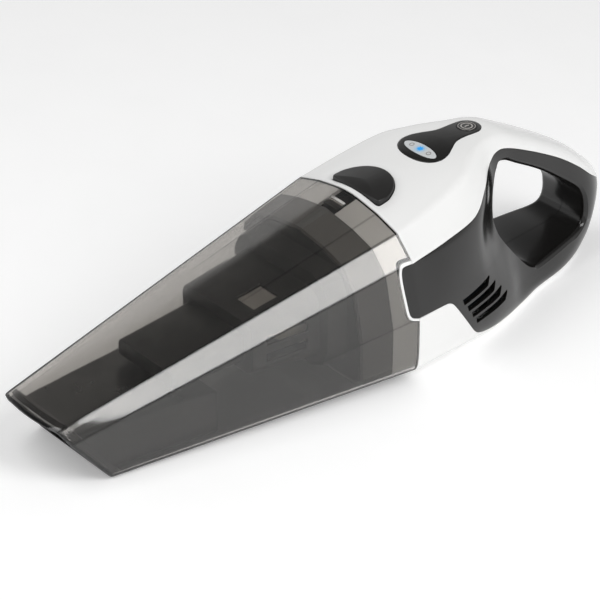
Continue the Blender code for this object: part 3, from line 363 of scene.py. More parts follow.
def skin(name, rings, closed=False):
    """A closed form over rings of equal count: a grid bent round them, with its ends filled."""
    rings = [np.asarray(ring, float) for ring in rings]
    if closed:
        rings.append(rings[0])
    columns = len(rings[0])
    bpy.ops.object.select_all(action="DESELECT")
    bpy.ops.mesh.primitive_grid_add(x_subdivisions=columns, y_subdivisions=len(rings) - 1)
    piece = bpy.context.object
    piece.name = name
    rows = np.array([np.vstack([ring, ring[:1]]) for ring in rings]).reshape(-1, 3)
    rows[:, 1] += RIM_Y
    piece.data.vertices.foreach_set("co", (rows * MM).ravel())
    piece.data.update()
    edit(piece, (bpy.ops.mesh.remove_doubles, {"threshold": 0.000001}))
    if not closed:
        edit(piece, (bpy.ops.mesh.select_all, {"action": "DESELECT"}),
             (bpy.ops.mesh.select_non_manifold, {}), (bpy.ops.mesh.edge_face_add, {}))
    edit(piece, (bpy.ops.mesh.normals_make_consistent, {"inside": False}))
    bpy.ops.object.shade_smooth_by_angle(angle=math.radians(32))
    return piece


def prism(name, outline, low, high, axis="X"):
    """A flat outline thickened: (y, z) along X, or (x, y) along Z."""
    outline = np.asarray(outline, float)
    rings = []
    for end in (low, high):
        column = np.full(len(outline), float(end))
        if axis == "X":
            rings.append(np.column_stack([column, outline[:, 0], outline[:, 1]]))
        else:
            rings.append(np.column_stack([outline[:, 0], outline[:, 1], column]))
    return skin(name, rings)


class Surface:
    """The finished normals of a form, kept so that a cut piece can shade as it did."""

    def __init__(self, piece):
        mesh = piece.data
        mesh.calc_loop_triangles()
        self.points = np.zeros(len(mesh.vertices) * 3)
        mesh.vertices.foreach_get("co", self.points)
        self.points = self.points.reshape(-1, 3)
        self.normals = np.zeros(len(mesh.loops) * 3)
        mesh.corner_normals.foreach_get("vector", self.normals)
        self.normals = self.normals.reshape(-1, 3)
        self.loops = [tuple(t.loops) for t in mesh.loop_triangles]
        self.triangles = [tuple(t.vertices) for t in mesh.loop_triangles]
        self.low, self.high = self.points.min(0) - MM, self.points.max(0) + MM
        self.tree = BVHTree.FromPolygons([Vector(p) for p in self.points], self.triangles)

    def distance(self, point):
        if np.any(point < self.low) or np.any(point > self.high):
            return 1.0
        return self.tree.find_nearest(point)[3]

    def normal(self, point):
        place, _, index, _ = self.tree.find_nearest(point)
        a, b, c = self.points[list(self.triangles[index])]
        v0, v1, v2 = b - a, c - a, np.array(place) - a
        d00, d01, d11 = v0 @ v0, v0 @ v1, v1 @ v1
        d20, d21 = v2 @ v0, v2 @ v1
        area = d00 * d11 - d01 * d01
        if area < 1e-24:
            return self.normals[self.loops[index][0]]
        v = (d11 * d20 - d01 * d21) / area
        w = (d00 * d21 - d01 * d20) / area
        return np.array([1 - v - w, v, w]) @ self.normals[list(self.loops[index])]


def surfaces_of(piece):
    if piece.name not in surfaces:
        surfaces[piece.name] = [(Surface(piece), 1.0)]
    return surfaces[piece.name]


def carve(piece, tool, operation="DIFFERENCE", keep_tool=False):
    """Cut a piece with a tool, or keep what is inside it, or join it, and remember its surface."""
    turned = -1.0 if operation == "DIFFERENCE" else 1.0
    kept = surfaces_of(piece) + [(s, side * turned) for s, side in surfaces_of(tool)]
    modifier = piece.modifiers.new("carve", "BOOLEAN")
    modifier.operation = operation
    modifier.solver = "MANIFOLD"
    modifier.object = tool
    select_only(piece)
    bpy.ops.object.modifier_apply(modifier=modifier.name)
    surfaces[piece.name] = kept
    if not keep_tool:
        discard(tool)
    return piece


def discard(piece):
    """Delete a form that has done its work."""
    surfaces.pop(piece.name, None)
    mesh = piece.data
    bpy.data.objects.remove(piece)
    bpy.data.meshes.remove(mesh)


def copy_of(piece, name):
    """A copy of a form, with the surfaces that it remembers."""
    made = piece.copy()
    made.data = piece.data.copy()
    made.name = name
    bpy.context.scene.collection.objects.link(made)
    surfaces[made.name] = list(surfaces_of(piece))
    return made


def shade_as_uncut(piece):
    """Give each corner of a cut piece the normal of the form that its face came from."""
    sources = surfaces_of(piece)
    mesh = piece.data
    mesh.shade_smooth()
    normals = np.zeros((len(mesh.loops), 3))
    for face in mesh.polygons:
        centre = np.array(face.center)
        source, side = min(sources, key=lambda s: s[0].distance(centre))
        for loop in face.loop_indices:
            point = np.array(mesh.vertices[mesh.loops[loop].vertex_index].co)
            normal = source.normal(point + (centre - point) * 0.04) * side
            length = np.linalg.norm(normal)
            normals[loop] = normal / length if length > 1e-9 else np.array(face.normal)
    mesh.normals_split_custom_set([tuple(n) for n in normals])
    surfaces.pop(piece.name, None)


def dress(piece, surface, body, slot, *nodes):
    """Give a finished piece its material and its body, and hide the CAD nodes it stands for. The
    slot is not used.
    """
    piece.data.materials.clear()
    piece.data.materials.append(surface)
    piece.data.name = piece.name
    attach(piece, body)
    if nodes:
        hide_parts(*nodes)
    return piece


def refined(node, name, bevel=0.0, angle=30.0):
    """A copy of a CAD node with its faces joined up and its edges rounded."""
    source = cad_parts[node]
    piece = bpy.data.objects.new(name, source.data.copy())
    bpy.context.scene.collection.objects.link(piece)
    edit(piece, (bpy.ops.mesh.remove_doubles, {"threshold": 0.00001}),
         (bpy.ops.mesh.dissolve_limited, {"angle_limit": math.radians(0.6)}))
    if bevel:
        modifier = piece.modifiers.new("rounding", "BEVEL")
        modifier.width = bevel * MM
        modifier.segments = 3
        modifier.angle_limit = math.radians(angle)
        modifier.harden_normals = False
        bpy.ops.object.modifier_apply(modifier=modifier.name)
    select_only(piece)
    bpy.ops.object.shade_smooth_by_angle(angle=math.radians(angle))
    return piece


# ---- Materials ----
def new_material(name):
    """An empty material: its tree and its Principled shader."""
    made = bpy.data.materials.new(name)
    made.use_nodes = True
    return made, made.node_tree, made.node_tree.nodes["Principled BSDF"]


def add(tree, kind, options=None, **inputs):
    """Add a node with its options, and set or link each of its inputs."""
    made = tree.nodes.new(kind)
    for key, value in (options or {}).items():
        setattr(made, key, value)
    for key, value in inputs.items():
        socket = made.inputs[int(key[1:])] if key[0] == "i" and key[1:].isdigit() \
            else made.inputs[key.replace("_", " ")]
        if isinstance(value, bpy.types.NodeSocket):
            tree.links.new(value, socket)
        else:
            socket.default_value = value
    return made


def ramp(tree, value, start, end, low, high, curve="SMOOTHSTEP"):
    """Go from low to high as a value goes from start to end, and hold beyond them."""
    made = add(tree, "ShaderNodeMapRange", {"interpolation_type": curve}, Value=value,
               From_Min=start, From_Max=end, To_Min=low, To_Max=high)
    return made.outputs["Result"]


def number(tree, operation, *values):
    """The result of a math node."""
    inputs = {"i%d" % i: value for i, value in enumerate(values)}
    return add(tree, "ShaderNodeMath", {"operation": operation}, **inputs).outputs["Value"]


def vector(tree, operation, *values, output="Vector"):
    """The result of a vector math node."""
    inputs = {"i%d" % i: value for i, value in enumerate(values)}
    return add(tree, "ShaderNodeVectorMath", {"operation": operation}, **inputs).outputs[output]


def coordinates(tree, kind):
    """The X, Y and Z outputs of one kind of texture coordinate."""
    place = add(tree, "ShaderNodeTexCoord").outputs[kind]
    return add(tree, "ShaderNodeSeparateXYZ", Vector=place).outputs


DRIFT_MM = 60.0  # patches over which a moulded colour drifts


def moulded(name, colour, other_colour, roughness, peel_mm=2.2, peel_depth=0.004,
            smudge_mm=28.0, ior=1.5):
    """A moulded plastic: colour that drifts a little, handling smudges and orange peel."""
    made, tree, shader = new_material(name)
    place = add(tree, "ShaderNodeTexCoord").outputs["Object"]

    def noise(size_mm, **options):
        made_noise = add(tree, "ShaderNodeTexNoise", Vector=place, Scale=1 / (size_mm * MM),
                         **options)
        return made_noise.outputs["Fac"]

    colours = add(tree, "ShaderNodeMix", {"data_type": "RGBA"},
                  Factor=noise(DRIFT_MM, Detail=2.0), i6=(*colour, 1.0), i7=(*other_colour, 1.0))
    tree.links.new(colours.outputs[2], shader.inputs["Base Color"])
    spread = ramp(tree, noise(smudge_mm, Detail=5.0, Roughness=0.62), 0.3, 0.7,
                  roughness * 0.85, roughness * 1.3, "LINEAR")
    tree.links.new(spread, shader.inputs["Roughness"])
    bump = add(tree, "ShaderNodeBump", Strength=1.0, Distance=peel_depth * MM,
               Height=noise(peel_mm, Detail=2.0))
    tree.links.new(bump.outputs["Normal"], shader.inputs["Normal"])
    shader.inputs["IOR"].default_value = ior
    return made, tree, shader


def shifted(colour, share):
    """A colour made lighter or darker by a share."""
    return tuple(min(1.0, c * share) for c in colour)


def white_abs():
    """White ABS from a polished mould: a clean gloss over a body that scatters light."""
    colour = tuple(settings().cover_colour)
    return moulded("white_abs_moulded_gloss", colour, shifted(colour, 0.975), 0.2, ior=1.54)[0]


def charcoal_abs():
    """Charcoal ABS from a polished mould: the room shows in it as soft greys."""
    colour = tuple(settings().panel_colour)
    return moulded("charcoal_abs_moulded_gloss", colour, shifted(colour, 1.2), 0.17, ior=1.54)[0]


def satin_black_abs(name="black_abs_moulded_satin", roughness=0.34):
    """Black ABS from an eroded mould: a fine even grain breaks its gloss."""
    colour = tuple(settings().button_colour)
    return moulded(name, colour, shifted(colour, 1.25), roughness, peel_mm=0.7,
                   peel_depth=0.01, ior=1.54)[0]


def button_abs():
    """Black ABS key: a satin face, with its sides darkened blacker as painted shade."""
    made = satin_black_abs("button_abs_moulded", 0.3)
    tree = made.node_tree
    # Painted shade: the upright sides of the key are darkened to near black.
    side = ramp(tree, coordinates(tree, "Normal")["Z"], 0.55, 0.85, 1.0, 0.0)
    darkened(tree, tree.nodes["Principled BSDF"], side, 0.12)
    return made


def filter_abs():
    """Black ABS of the filter housing, dulled by fine dust."""
    colour = tuple(settings().filter_colour)
    return moulded("filter_abs_moulded_dusty", colour, shifted(colour, 1.7), 0.42, peel_mm=0.9,
                   peel_depth=0.01, smudge_mm=12.0, ior=1.54)[0]


# The bowl's moulded ridges, each drawn as a line of painted shade: corner of its sections, half
# width of the dark line, share of the way to the mouth where it has faded out, and what is left of
# the light.
TO_THE_MOUTH = 9.0
RIDGES = ((1, 1.1, 0.5, 0.55), (2, 1.2, TO_THE_MOUTH, 0.3), (3, 1.2, TO_THE_MOUTH, 0.35),
          (5, 1.1, 0.55, 0.6))
RIDGE_CORE = 0.35
# Shares of the colour left under the painted shade of the bowl's floor, its upright side walls and
# the lip of its mouth.
FLOOR_PAINTED_SHADE, SIDE_PAINTED_SHADE, LIP_PAINTED_SHADE = 0.1, 0.72, 0.25


def smoked_polycarbonate():
    """Smoke tinted polycarbonate, moulded clear: tinted glass with a polished skin, and painted
    shade on its ridges, floor, side walls and lip.
    """
    colour = tuple(settings().smoke_colour)
    made, tree, shader = moulded("smoked_polycarbonate_moulded", colour, shifted(colour, 0.94),
                                 0.05, peel_mm=5.0, peel_depth=0.002, smudge_mm=35.0, ior=1.585)
    shader.inputs["Transmission Weight"].default_value = 1.0
    place = coordinates(tree, "Object")
    folded = add(tree, "ShaderNodeCombineXYZ", X=number(tree, "ABSOLUTE", place["X"]),
                 Y=place["Y"], Z=place["Z"]).outputs["Vector"]
    # Painted shade: the tint is darkened in lines along the moulded ridges, where the creases show
    # dark; the wall is no thicker there.
    for corner, reach, fade_share, share in RIDGES:
        across, up = HALVES[0][corner]
        x, z, slant = MOUTH_EDGE[corner]
        mouth = (x, slant * MOUTH_SLANT - BOWL_LENGTH, z)
        line = near_line(tree, folded, (across, 0.0, up), mouth, reach, fade_share)
        darkened(tree, shader, line, share)
    # Painted shade: the floor of the bowl is darkened to stand in for the shadow beneath the
    # vacuum, seen through it.
    facing = coordinates(tree, "Normal")
    level = ramp(tree, number(tree, "ABSOLUTE", facing["Z"]), 0.6, 0.9, 0.0, 1.0)
    low = ramp(tree, place["Z"], 9.0 * MM, 14.0 * MM, 1.0, 0.0, "LINEAR")
    darkened(tree, shader, number(tree, "MULTIPLY", level, low), FLOOR_PAINTED_SHADE)
    # Painted shade: the upright side walls are darkened, standing in for the shadowed floor seen
    # through them.
    upright = ramp(tree, number(tree, "ABSOLUTE", facing["X"]), 0.86, 0.94, 0.0, 1.0)
    darkened(tree, shader, upright, SIDE_PAINTED_SHADE)
    # Painted shade: the lip of the mouth is darkened almost to black, as it looks seen edge on.
    slanted = (0.0, 1.0, MOUTH_SLANT / MOUTH_EDGE[0][1])
    edge = (RIM_Y - BOWL_LENGTH + MOUTH_SLANT) * MM
    lip = vector(tree, "DOT_PRODUCT", folded, slanted, output="Value")
    darkened(tree, shader, ramp(tree, lip, edge + 2.6 * MM, edge + 3.6 * MM, 1.0, 0.0), LIP_PAINTED_SHADE)
    return made


def darkened(tree, shader, amount, share):
    """Multiply the base colour by share where amount is 1."""
    base = shader.inputs["Base Color"].links[0].from_socket
    shade = add(tree, "ShaderNodeMix", {"data_type": "RGBA", "blend_type": "MULTIPLY"},
                Factor=amount, i6=base, i7=(share, share, share, 1.0))
    tree.links.new(shade.outputs[2], shader.inputs["Base Color"])


def near_line(tree, place, start, end, reach, fade_share):
    """1 on a straight line of the drawing and 0 beyond reach, fading along it."""
    start, end = (Vector((p[0], p[1] + RIM_Y, p[2])) * MM for p in (start, end))
    along, fade_end = (end - start).normalized(), (end - start).length * fade_share
    offset = vector(tree, "SUBTRACT", place, start)
    far = vector(tree, "LENGTH", vector(tree, "CROSS_PRODUCT", offset, along), output="Value")
    near = ramp(tree, far, RIDGE_CORE * MM, reach * MM, 1.0, 0.0)
    run = vector(tree, "DOT_PRODUCT", offset, along, output="Value")
    return number(tree, "MULTIPLY", near, ramp(tree, run, fade_end * 0.6, fade_end, 1.0, 0.0))


def filter_mesh():
    """Woven nylon mesh over the filter, grey with the dust it holds."""
    return moulded("nylon_mesh_woven", linear("#8D8A86"), linear("#A19D98"), 0.8, peel_mm=0.5,
                   peel_depth=0.05, smudge_mm=6.0)[0]


def silicone_rubber(name, hex_colour):
    """Moulded silicone rubber: soft, matt and a little dusty."""
    colour = linear(hex_colour)
    return moulded(name, colour, shifted(colour, 1.2), 0.62, peel_mm=0.8, peel_depth=0.02,
                   smudge_mm=9.0, ior=1.42)[0]


def frosted_acrylic():
    """Frosted acrylic of the status window, tinted by the lamp below its middle."""
    made, tree, shader = moulded("frosted_acrylic_moulded", linear("#C9CCCE"),
                                 linear("#D6D8D9"), 0.25, ior=1.49)
    shader.inputs["Subsurface Weight"].default_value = 0.15
    shader.inputs["Subsurface Radius"].default_value = (0.002, 0.002, 0.002)
    centre = Vector((0.0, WINDOW_Y + RIM_Y, top_height(0.0, WINDOW_Y))) * MM
    place = add(tree, "ShaderNodeTexCoord").outputs["Object"]
    far = vector(tree, "DISTANCE", place, centre, output="Value")
    base = shader.inputs["Base Color"].links[0].from_socket
    tinted = add(tree, "ShaderNodeMix", {"data_type": "RGBA"},
                 Factor=ramp(tree, far, 0.0, 5.5 * MM, 0.85, 0.0), i6=base,
                 i7=(*linear("#7FC4EE"), 1.0))
    tree.links.new(tinted.outputs[2], shader.inputs["Base Color"])
    return made


def lit_ink():
    """Ink of the lit mark, bright from the lamp below it."""
    colour = tuple(settings().lamp_colour)
    made, _, shader = moulded("lit_blue_ink", colour, shifted(colour, 1.15), 0.3)
    shader.inputs["Emission Color"].default_value = (*colour, 1.0)
    shader.inputs["Emission Strength"].default_value = 0.35
    return made


def print_ink(name, hex_colour):
    """Pad printed ink, matt and thin, with the mottle of the pad."""
    colour = linear(hex_colour)
    return moulded(name, colour, shifted(colour, 0.85), 0.5, peel_mm=0.4, peel_depth=0.003)[0]


def pleated_paper():
    """Filter paper folded in pleats, with the flock of its fibres."""
    return moulded("filter_paper_pleated", linear("#D8D4C8"), linear("#C4BFB0"), 0.9,
                   peel_mm=0.5, peel_depth=0.03, smudge_mm=6.0)[0]


def bright_metal(name, hex_colour, other_hex, roughness, peel_mm, peel_depth, smudge_mm):
    """Bare metal with its bloom, its fine lines and its fingermarks."""
    made, _, shader = moulded(name, linear(hex_colour), linear(other_hex), roughness, peel_mm,
                              peel_depth, smudge_mm)
    shader.inputs["Metallic"].default_value = 1.0
    return made


def zinc_plate():
    """Zinc plated steel: a dull bright metal with a faint bloom."""
    return bright_metal("steel_zinc_plated", "#B9BCC0", "#A3A7AC", 0.34, 0.6, 0.003, 4.0)


def drawn_steel():
    """Drawn spring steel wire and ground shaft steel: bright, with fine draw lines."""
    return bright_metal("steel_drawn_bright", "#C6C8CB", "#B0B3B8", 0.22, 0.3, 0.002, 5.0)


def board_mask():
    """Green solder mask over the weave of a circuit board."""
    return moulded("circuit_board_solder_mask", linear("#14532D"), linear("#1B6337"), 0.32,
                   peel_mm=0.8, peel_depth=0.01, smudge_mm=7.0)[0]


def shrink_wrap():
    """Dark PVC shrink wrap around a battery cell, slightly rippled."""
    return moulded("cell_shrink_wrap", linear("#1C2024"), linear("#24282D"), 0.35, peel_mm=3.0,
                   peel_depth=0.02, smudge_mm=15.0, ior=1.53)[0]


def paint_nodes(surface, *nodes):
    """Give CAD nodes a material."""
    for node in nodes:
        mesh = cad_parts[node].data
        mesh.materials.clear()
        mesh.materials.append(surface)


# ---- Shared forms of the body ----
def body_solid(name, inset=0.0, dished=False, step=2.0, start=-24.0):
    """The body's outer form, run forward a little way into the bowl's own form."""
    ys = [start, -12.0, -6.0, -3.0] + list(np.arange(0.0, 186.0, step))
    ys += [186.0, 187.5, 189.0, 190.5, 191.5, 192.5, 193.3, BODY_LENGTH]
    if inset > 0:
        ys = [y for y in ys if y <= 187.5]
    rings = []
    for y in ys:
        ring = body_ring(y, inset)
        if dished and y >= 0:
            ring = with_dish(ring)
        rings.append(ring)
    return skin(name, rings)


def with_dish(ring):
    """Sink the top of a ring into the dish around the release button."""
    ring = ring.copy()
    far = np.hypot(ring[:, 0] / DISH_HALF_WIDTH, (ring[:, 1] - DISH_Y) / DISH_LENGTH)
    inside = np.clip((1.0 - far) / 0.24, 0.0, 1.0)
    share = inside * inside * (3 - 2 * inside)
    start = np.clip((ring[:, 1] - 1.5) / 5.0, 0.0, 1.0)
    upper = ring[:, 2] > 60.0
    ring[:, 2] -= in_mm(settings().dish_depth) * share * start * start * (3 - 2 * start) * upper
    return ring


def cavity_solid():
    """The hollow inside the covers."""
    wall = in_mm(settings().cover_wall)
    ys = np.arange(0.4, 166.0, 4.0)
    cavity = skin("cavity", [body_ring(-30.0, 1.9)] + [body_ring(y, wall) for y in ys])
    outline = offset_loop(smooth_loop(FINGER_HOLE, 3), -HOLE_WALL)
    return carve(cavity, prism("hole_wall", outline, -BODY_SIDE, BODY_SIDE))


def hole_solid():
    """The finger hole as a plug whose ends flare out to round the hole's rim."""
    radius = in_mm(settings().hole_round)
    outline = smooth_loop(FINGER_HOLE, 7)
    after, before = np.roll(outline, -1, axis=0), np.roll(outline, 1, axis=0)
    run = after - before
    run /= np.linalg.norm(run, axis=1)[:, None]
    out = np.stack([run[:, 1], -run[:, 0]], axis=1)
    if np.sum((outline - outline.mean(0)) * out) < 0:
        out = -out
    # The rim is rounded above, behind and below the hole, and runs out to an edge in front.
    share = np.clip(0.75 + 1.5 * out[:, 0], 0.08, 1.0)[:, None]
    last = math.radians(64)
    tail, front_tail = 9.0, 40.0
    reach = np.array([side_reach(*(p + n * radius * 0.5)) for p, n in zip(outline, out)])[:, None]
    rings = []
    for angle in np.linspace(0.0, last, 7):
        grow, depth = radius * (1 - math.cos(angle)), radius * (math.sin(angle) - 1)
        rings.append(np.hstack([reach + depth * share, outline + out * grow * share]))
    grow += tail * math.sin(last)
    depth += tail * math.cos(last)
    rings.append(np.hstack([reach + depth * share + front_tail * (1 - share),
                            outline + out * grow * share]))
    mirror = [ring * np.array([-1, 1, 1]) for ring in reversed(rings)]
    return skin("finger_hole", mirror + rings)


def beyond(line, far):
    """A seam line closed into a region behind the rim that runs up or down to far."""
    line[:, 0] = np.maximum(line[:, 0], GAP)
    return np.vstack([line, [(line[-1][0], far), (GAP, far)]])


def above_seam():
    """Side view region of the top cover."""
    line = smooth_line(SEAM, 6)
    line[:, 1] += GAP / 2
    return beyond(line, 200.0)


def below_lower_seam():
    """Side view region of the bottom cover."""
    line = eased_line(LOWER_SEAM, 3.0)
    line[:, 1] -= GAP / 2
    return beyond(line, -100.0)


def eased_line(points, reach):
    """An open line with its inner corners eased."""
    points = np.asarray(points, float)
    line = [points[0]]
    for before, here, after in zip(points, points[1:], points[2:]):
        back, on = before - here, after - here
        start = here + back * min(0.47, reach / np.linalg.norm(back))
        end = here + on * min(0.47, reach / np.linalg.norm(on))
        for t in np.linspace(0.0, 1.0, 6):
            line.append((1 - t) ** 2 * start + 2 * t * (1 - t) * here + t * t * end)
    line.append(points[-1])
    return np.array(line)


def tongue_outline(grow=0.0):
    """The tongue in side view, open behind the rim; grow moves its free edge out."""
    middle = 60.0
    line = []
    for share, height in TONGUE:
        line.append((share * (TONGUE_REACH + grow), height + math.copysign(grow, height - middle)))
    dense = smooth_line(line, 6)
    return np.vstack([[(4.0, dense[0][1])], dense, [(4.0, dense[-1][1])]])


def between_seams():
    """Side view region of a side panel, with its tip on the collar's tongue."""
    upper = smooth_line(SEAM, 6)
    upper[:, 1] -= GAP / 2
    lower = eased_line(LOWER_SEAM, 3.0)
    lower[:, 1] += GAP / 2
    tip = offset_loop(tongue_outline(), TONGUE_EDGE)[1:-1]
    tip = tip[tip[:, 0] < 0.0]
    # The seams' first points, next to the rim, give way to the tip.
    return np.vstack([upper[::-1][:-4], tip, lower[4:]])


# ---- Pieces ----
class HANDVACUUM_OT_dust_bowl(bpy.types.Operator):
    """Model the smoked dust bowl with its ridges, wall and catch rib"""
    bl_idname = "hand_vacuum.dust_bowl"
    bl_label = "Dust Bowl"

    def execute(self, context):
        wall = in_mm(settings().bowl_wall)
        shares = [0.0015, 0.03, 0.07, 0.1, 0.14, 0.2, 0.26, 0.33, 0.4, 0.47, 0.55, 0.65, 0.75, 0.85,
                  0.93, 0.985]
        outer = [bowl_ring(share, 0.0) for share in shares]
        lip = [bowl_ring(0.996, 0.15), bowl_ring(1.0, 0.7), bowl_ring(1.0, wall - 0.7),
               bowl_ring(0.996, wall - 0.15)]
        inner = [bowl_ring(share, wall) for share in reversed(shares)]
        bowl = skin("smoked_dust_bowl", outer + lip + inner, closed=True)
        notch = tongue_outline(SLIDE_GAP)
        carve(bowl, prism("notch", notch, 48.0, BODY_SIDE))
        carve(bowl, prism("notch", notch, -BODY_SIDE, -48.0))
        rib = [(-6.0, -8.5), (6.0, -8.5), (6.0, -6.5), (-6.0, -6.5)]
        carve(bowl, prism("catch_rib", rib, 93.0, 96.2, axis="Z"), "UNION")
        shade_as_uncut(bowl)
        dress(bowl, smoked_polycarbonate(), "bowl", "smoked_plastic", "dust_bowl")
        return {"FINISHED"}


class HANDVACUUM_OT_inlet(bpy.types.Operator):
    """Model the inlet tunnel and its flap"""
    bl_idname = "hand_vacuum.inlet"
    bl_label = "Inlet Tunnel and Flap"

    def execute(self, context):
        tunnel = refined("inlet_tunnel", "inlet_duct", 0.4)
        dress(tunnel, satin_black_abs("inlet_abs_moulded_satin", 0.3), "bowl", "black_plastic",
              "inlet_tunnel")
        flap = refined("inlet_flap", "inlet_rubber_flap", 0.3)
        dress(flap, silicone_rubber("flap_rubber", "#1A1A1A"), "inlet_flap", "black_rubber",
              "inlet_flap")
        return {"FINISHED"}


class HANDVACUUM_OT_filter(bpy.types.Operator):
    """Model the filter housing, its nose, seal and pleated paper"""
    bl_idname = "hand_vacuum.filter"
    bl_label = "Filter"

    def execute(self, context):
        surface = filter_abs()
        housing = refined("filter_frame", "filter_housing", 0.6)
        dress(housing, surface, "filter", "black_plastic", "filter_frame")
        nose = refined("filter_nose", "filter_nose_shell", 0.6)
        dress(nose, surface, "filter", "black_plastic", "filter_nose")
        pane = mesh_pane("filter_mesh_pane")
        dress(pane, filter_mesh(), "filter", "filter_paper")
        seal = refined("filter_gasket", "filter_seal", 0.0)
        dress(seal, silicone_rubber("seal_rubber", "#6E6D6B"), "filter", "grey_rubber",
              "filter_gasket")
        paint_nodes(pleated_paper(), "filter_medium")
        return {"FINISHED"}


def mesh_pane(name):
    """The mesh pane under the opening in the filter housing's roof."""
    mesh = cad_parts["filter_frame"].data
    housing = BVHTree.FromPolygons([v.co for v in mesh.vertices],
                                   [face.vertices for face in mesh.polygons])
    top = []
    for x, y in ((2.0, -87.0), (21.0, -87.0), (21.0, -65.0), (2.0, -65.0)):
        above = Vector((x * MM, (y + RIM_Y) * MM, 1.0))
        roof = housing.ray_cast(above, Vector((0, 0, -1)))[0]
        top.append((x, y, roof.z / MM - 2.0))
    top = np.array(top)
    return skin(name, [top - (0.0, 0.0, 0.8), top])


class HANDVACUUM_OT_collar(bpy.types.Operator):
    """Model the white collar inside the bowl with the tongues that hold the panels"""
    bl_idname = "hand_vacuum.collar"
    bl_label = "Collar"

    def execute(self, context):
        wall = in_mm(settings().cover_wall)
        outer, inner = wall + GAP, wall + GAP + COLLAR_WALL
        middle = -COLLAR_REACH / 2
        rings = [body_ring(y, outer) for y in (-COLLAR_REACH, middle, 0.0)]
        rings += [body_ring(y, outer + 3 * GAP) for y in (GAP, COLLAR_BACK)]
        rings += [body_ring(y, inner + GAP) for y in (COLLAR_BACK, 0.0)]
        rings += [body_ring(y, inner) for y in (middle, -COLLAR_REACH)]
        collar = skin("white_collar", rings, closed=True)
        whole = body_solid("tongue_form", step=4.0)
        for side in (-1, 1):
            low, high = sorted((side * 50.0, side * BODY_SIDE))
            outline = tongue_outline()
            outline[:, 0] = np.minimum(outline[:, 0], -0.001)
            tongue = copy_of(whole, "tongue")
            carve(tongue, prism("tongue_side", outline, low, high), "INTERSECT")
            pocket = prism("pocket", offset_loop(tongue_outline(), TONGUE_EDGE - GAP), low, high)
            floor = [body_ring(y, COLLAR_CUTS) for y in (-24.0, -6.0, 0.0, 8.0)]
            carve(pocket, skin("pocket_floor", floor))
            carve(collar, tongue, "UNION")
            carve(collar, pocket)
        discard(whole)
        inside = [body_ring(y, inner) for y in (-30.0, middle, 0.0, 6.0)]
        carve(collar, skin("collar_inside", inside))
        hook_room = [(-7.5, -22.0), (7.5, -22.0), (7.5, 14.0), (-7.5, 14.0)]
        carve(collar, prism("hook_room", hook_room, 78.0, 120.0, axis="Z"))
        shade_as_uncut(collar)
        dress(collar, white_abs(), "housing", "white_plastic", "front_collar")
        return {"FINISHED"}


class HANDVACUUM_OT_covers(bpy.types.Operator):
    """Model the white top and bottom covers"""
    bl_idname = "hand_vacuum.covers"
    bl_label = "White Covers"

    def execute(self, context):
        surface = white_abs()
        cavity = cavity_solid()
        top = body_solid("white_top_cover", dished=True)
        bottom = body_solid("white_bottom_cover")
        carve(top, prism("region", above_seam(), -BODY_SIDE, BODY_SIDE), "INTERSECT")
        carve(top, cavity, keep_tool=True)
        carve(top, prism("button_hole", button_outline(SLIDE_GAP), 60.0, 140.0, axis="Z"))
        pocket = prism("panel_pocket", panel_outline(GAP), 80.0, 140.0, axis="Z")
        carve(pocket, body_solid("panel_seat", 1.8, step=4.0))
        carve(top, pocket)
        shade_as_uncut(top)
        dress(top, surface, "housing", "white_plastic", "top_cover")
        lower_region = prism("region", below_lower_seam(), -BODY_SIDE, BODY_SIDE)
        carve(bottom, lower_region, "INTERSECT")
        carve(bottom, cavity)
        for x, y in screw_places():
            carve(bottom, prism("screw_hole", circle(x, y, 3.5), -20.0, 20.0, axis="Z"))
        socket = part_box("charge_socket")
        y = (socket[0].y + socket[1].y) / 2 / MM - RIM_Y
        carve(bottom, prism("socket_hole", circle(0.0, y, 3.7), -20.0, 20.0, axis="Z"))
        shade_as_uncut(bottom)
        dress(bottom, surface, "housing", "white_plastic", "bottom_cover")
        return {"FINISHED"}


def ellipse(x, y, across, along, count):
    turn = np.arange(count) * 2 * math.pi / count
    return np.column_stack([x + across * np.cos(turn), y + along * np.sin(turn)])


def circle(x, y, radius, count=40):
    return ellipse(x, y, radius, radius, count)


def screw_places():
    """Centres of the housing's screws, from above."""
    places = []
    for i in range(1, 5):
        low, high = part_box("housing_screw_%d" % i)
        places.append(((low.x + high.x) / 2 / MM, (low.y + high.y) / 2 / MM - RIM_Y))
    return places


class HANDVACUUM_OT_side_panels(bpy.types.Operator):
    """Model the two charcoal side panels with the finger hole and the exhaust slots"""
    bl_idname = "hand_vacuum.side_panels"
    bl_label = "Side Panels"

    def execute(self, context):
        surface = charcoal_abs()
        cavity = cavity_solid()
        hole = hole_solid()
        whole = body_solid("panel_form")
        for side, name in ((1, "right"), (-1, "left")):
            low, high = sorted((side * GAP / 2, side * BODY_SIDE))
            panel = copy_of(whole, name + "_panel")
            carve(panel, prism("region", between_seams(), low, high), "INTERSECT")
            carve(panel, cavity, keep_tool=True)
            carve(panel, hole, keep_tool=True)
            for i in range(settings().vent_count):
                low, high = sorted((side * 36.0, side * BODY_SIDE))
                carve(panel, prism("vent", vent_outline(i), low, high))
            shade_as_uncut(panel)
            dress(panel, surface, "housing", "charcoal_plastic", name + "_side_panel")
        for tool in (cavity, hole, whole):
            discard(tool)
        return {"FINISHED"}


def vent_outline(i):
    """One exhaust slot, slightly rising to the back, longer than the one above it."""
    pitch_y, pitch_z, reach = 4.3, 6.0, 1.7
    y, z = 36.0 + pitch_y * i, 36.2 - pitch_z * i
    end, height, rise = y + 27.0 + reach * i, in_mm(settings().vent_height), 2.4
    corners = [(y, z + height), (y + 1.7, z), (end - 2.4, z + rise),
               (end + 0.4, z + rise + height * 1.0), (end, z + rise + height * 1.3)]
    return eased(corners, 0.35, corner_points=4, between=0)


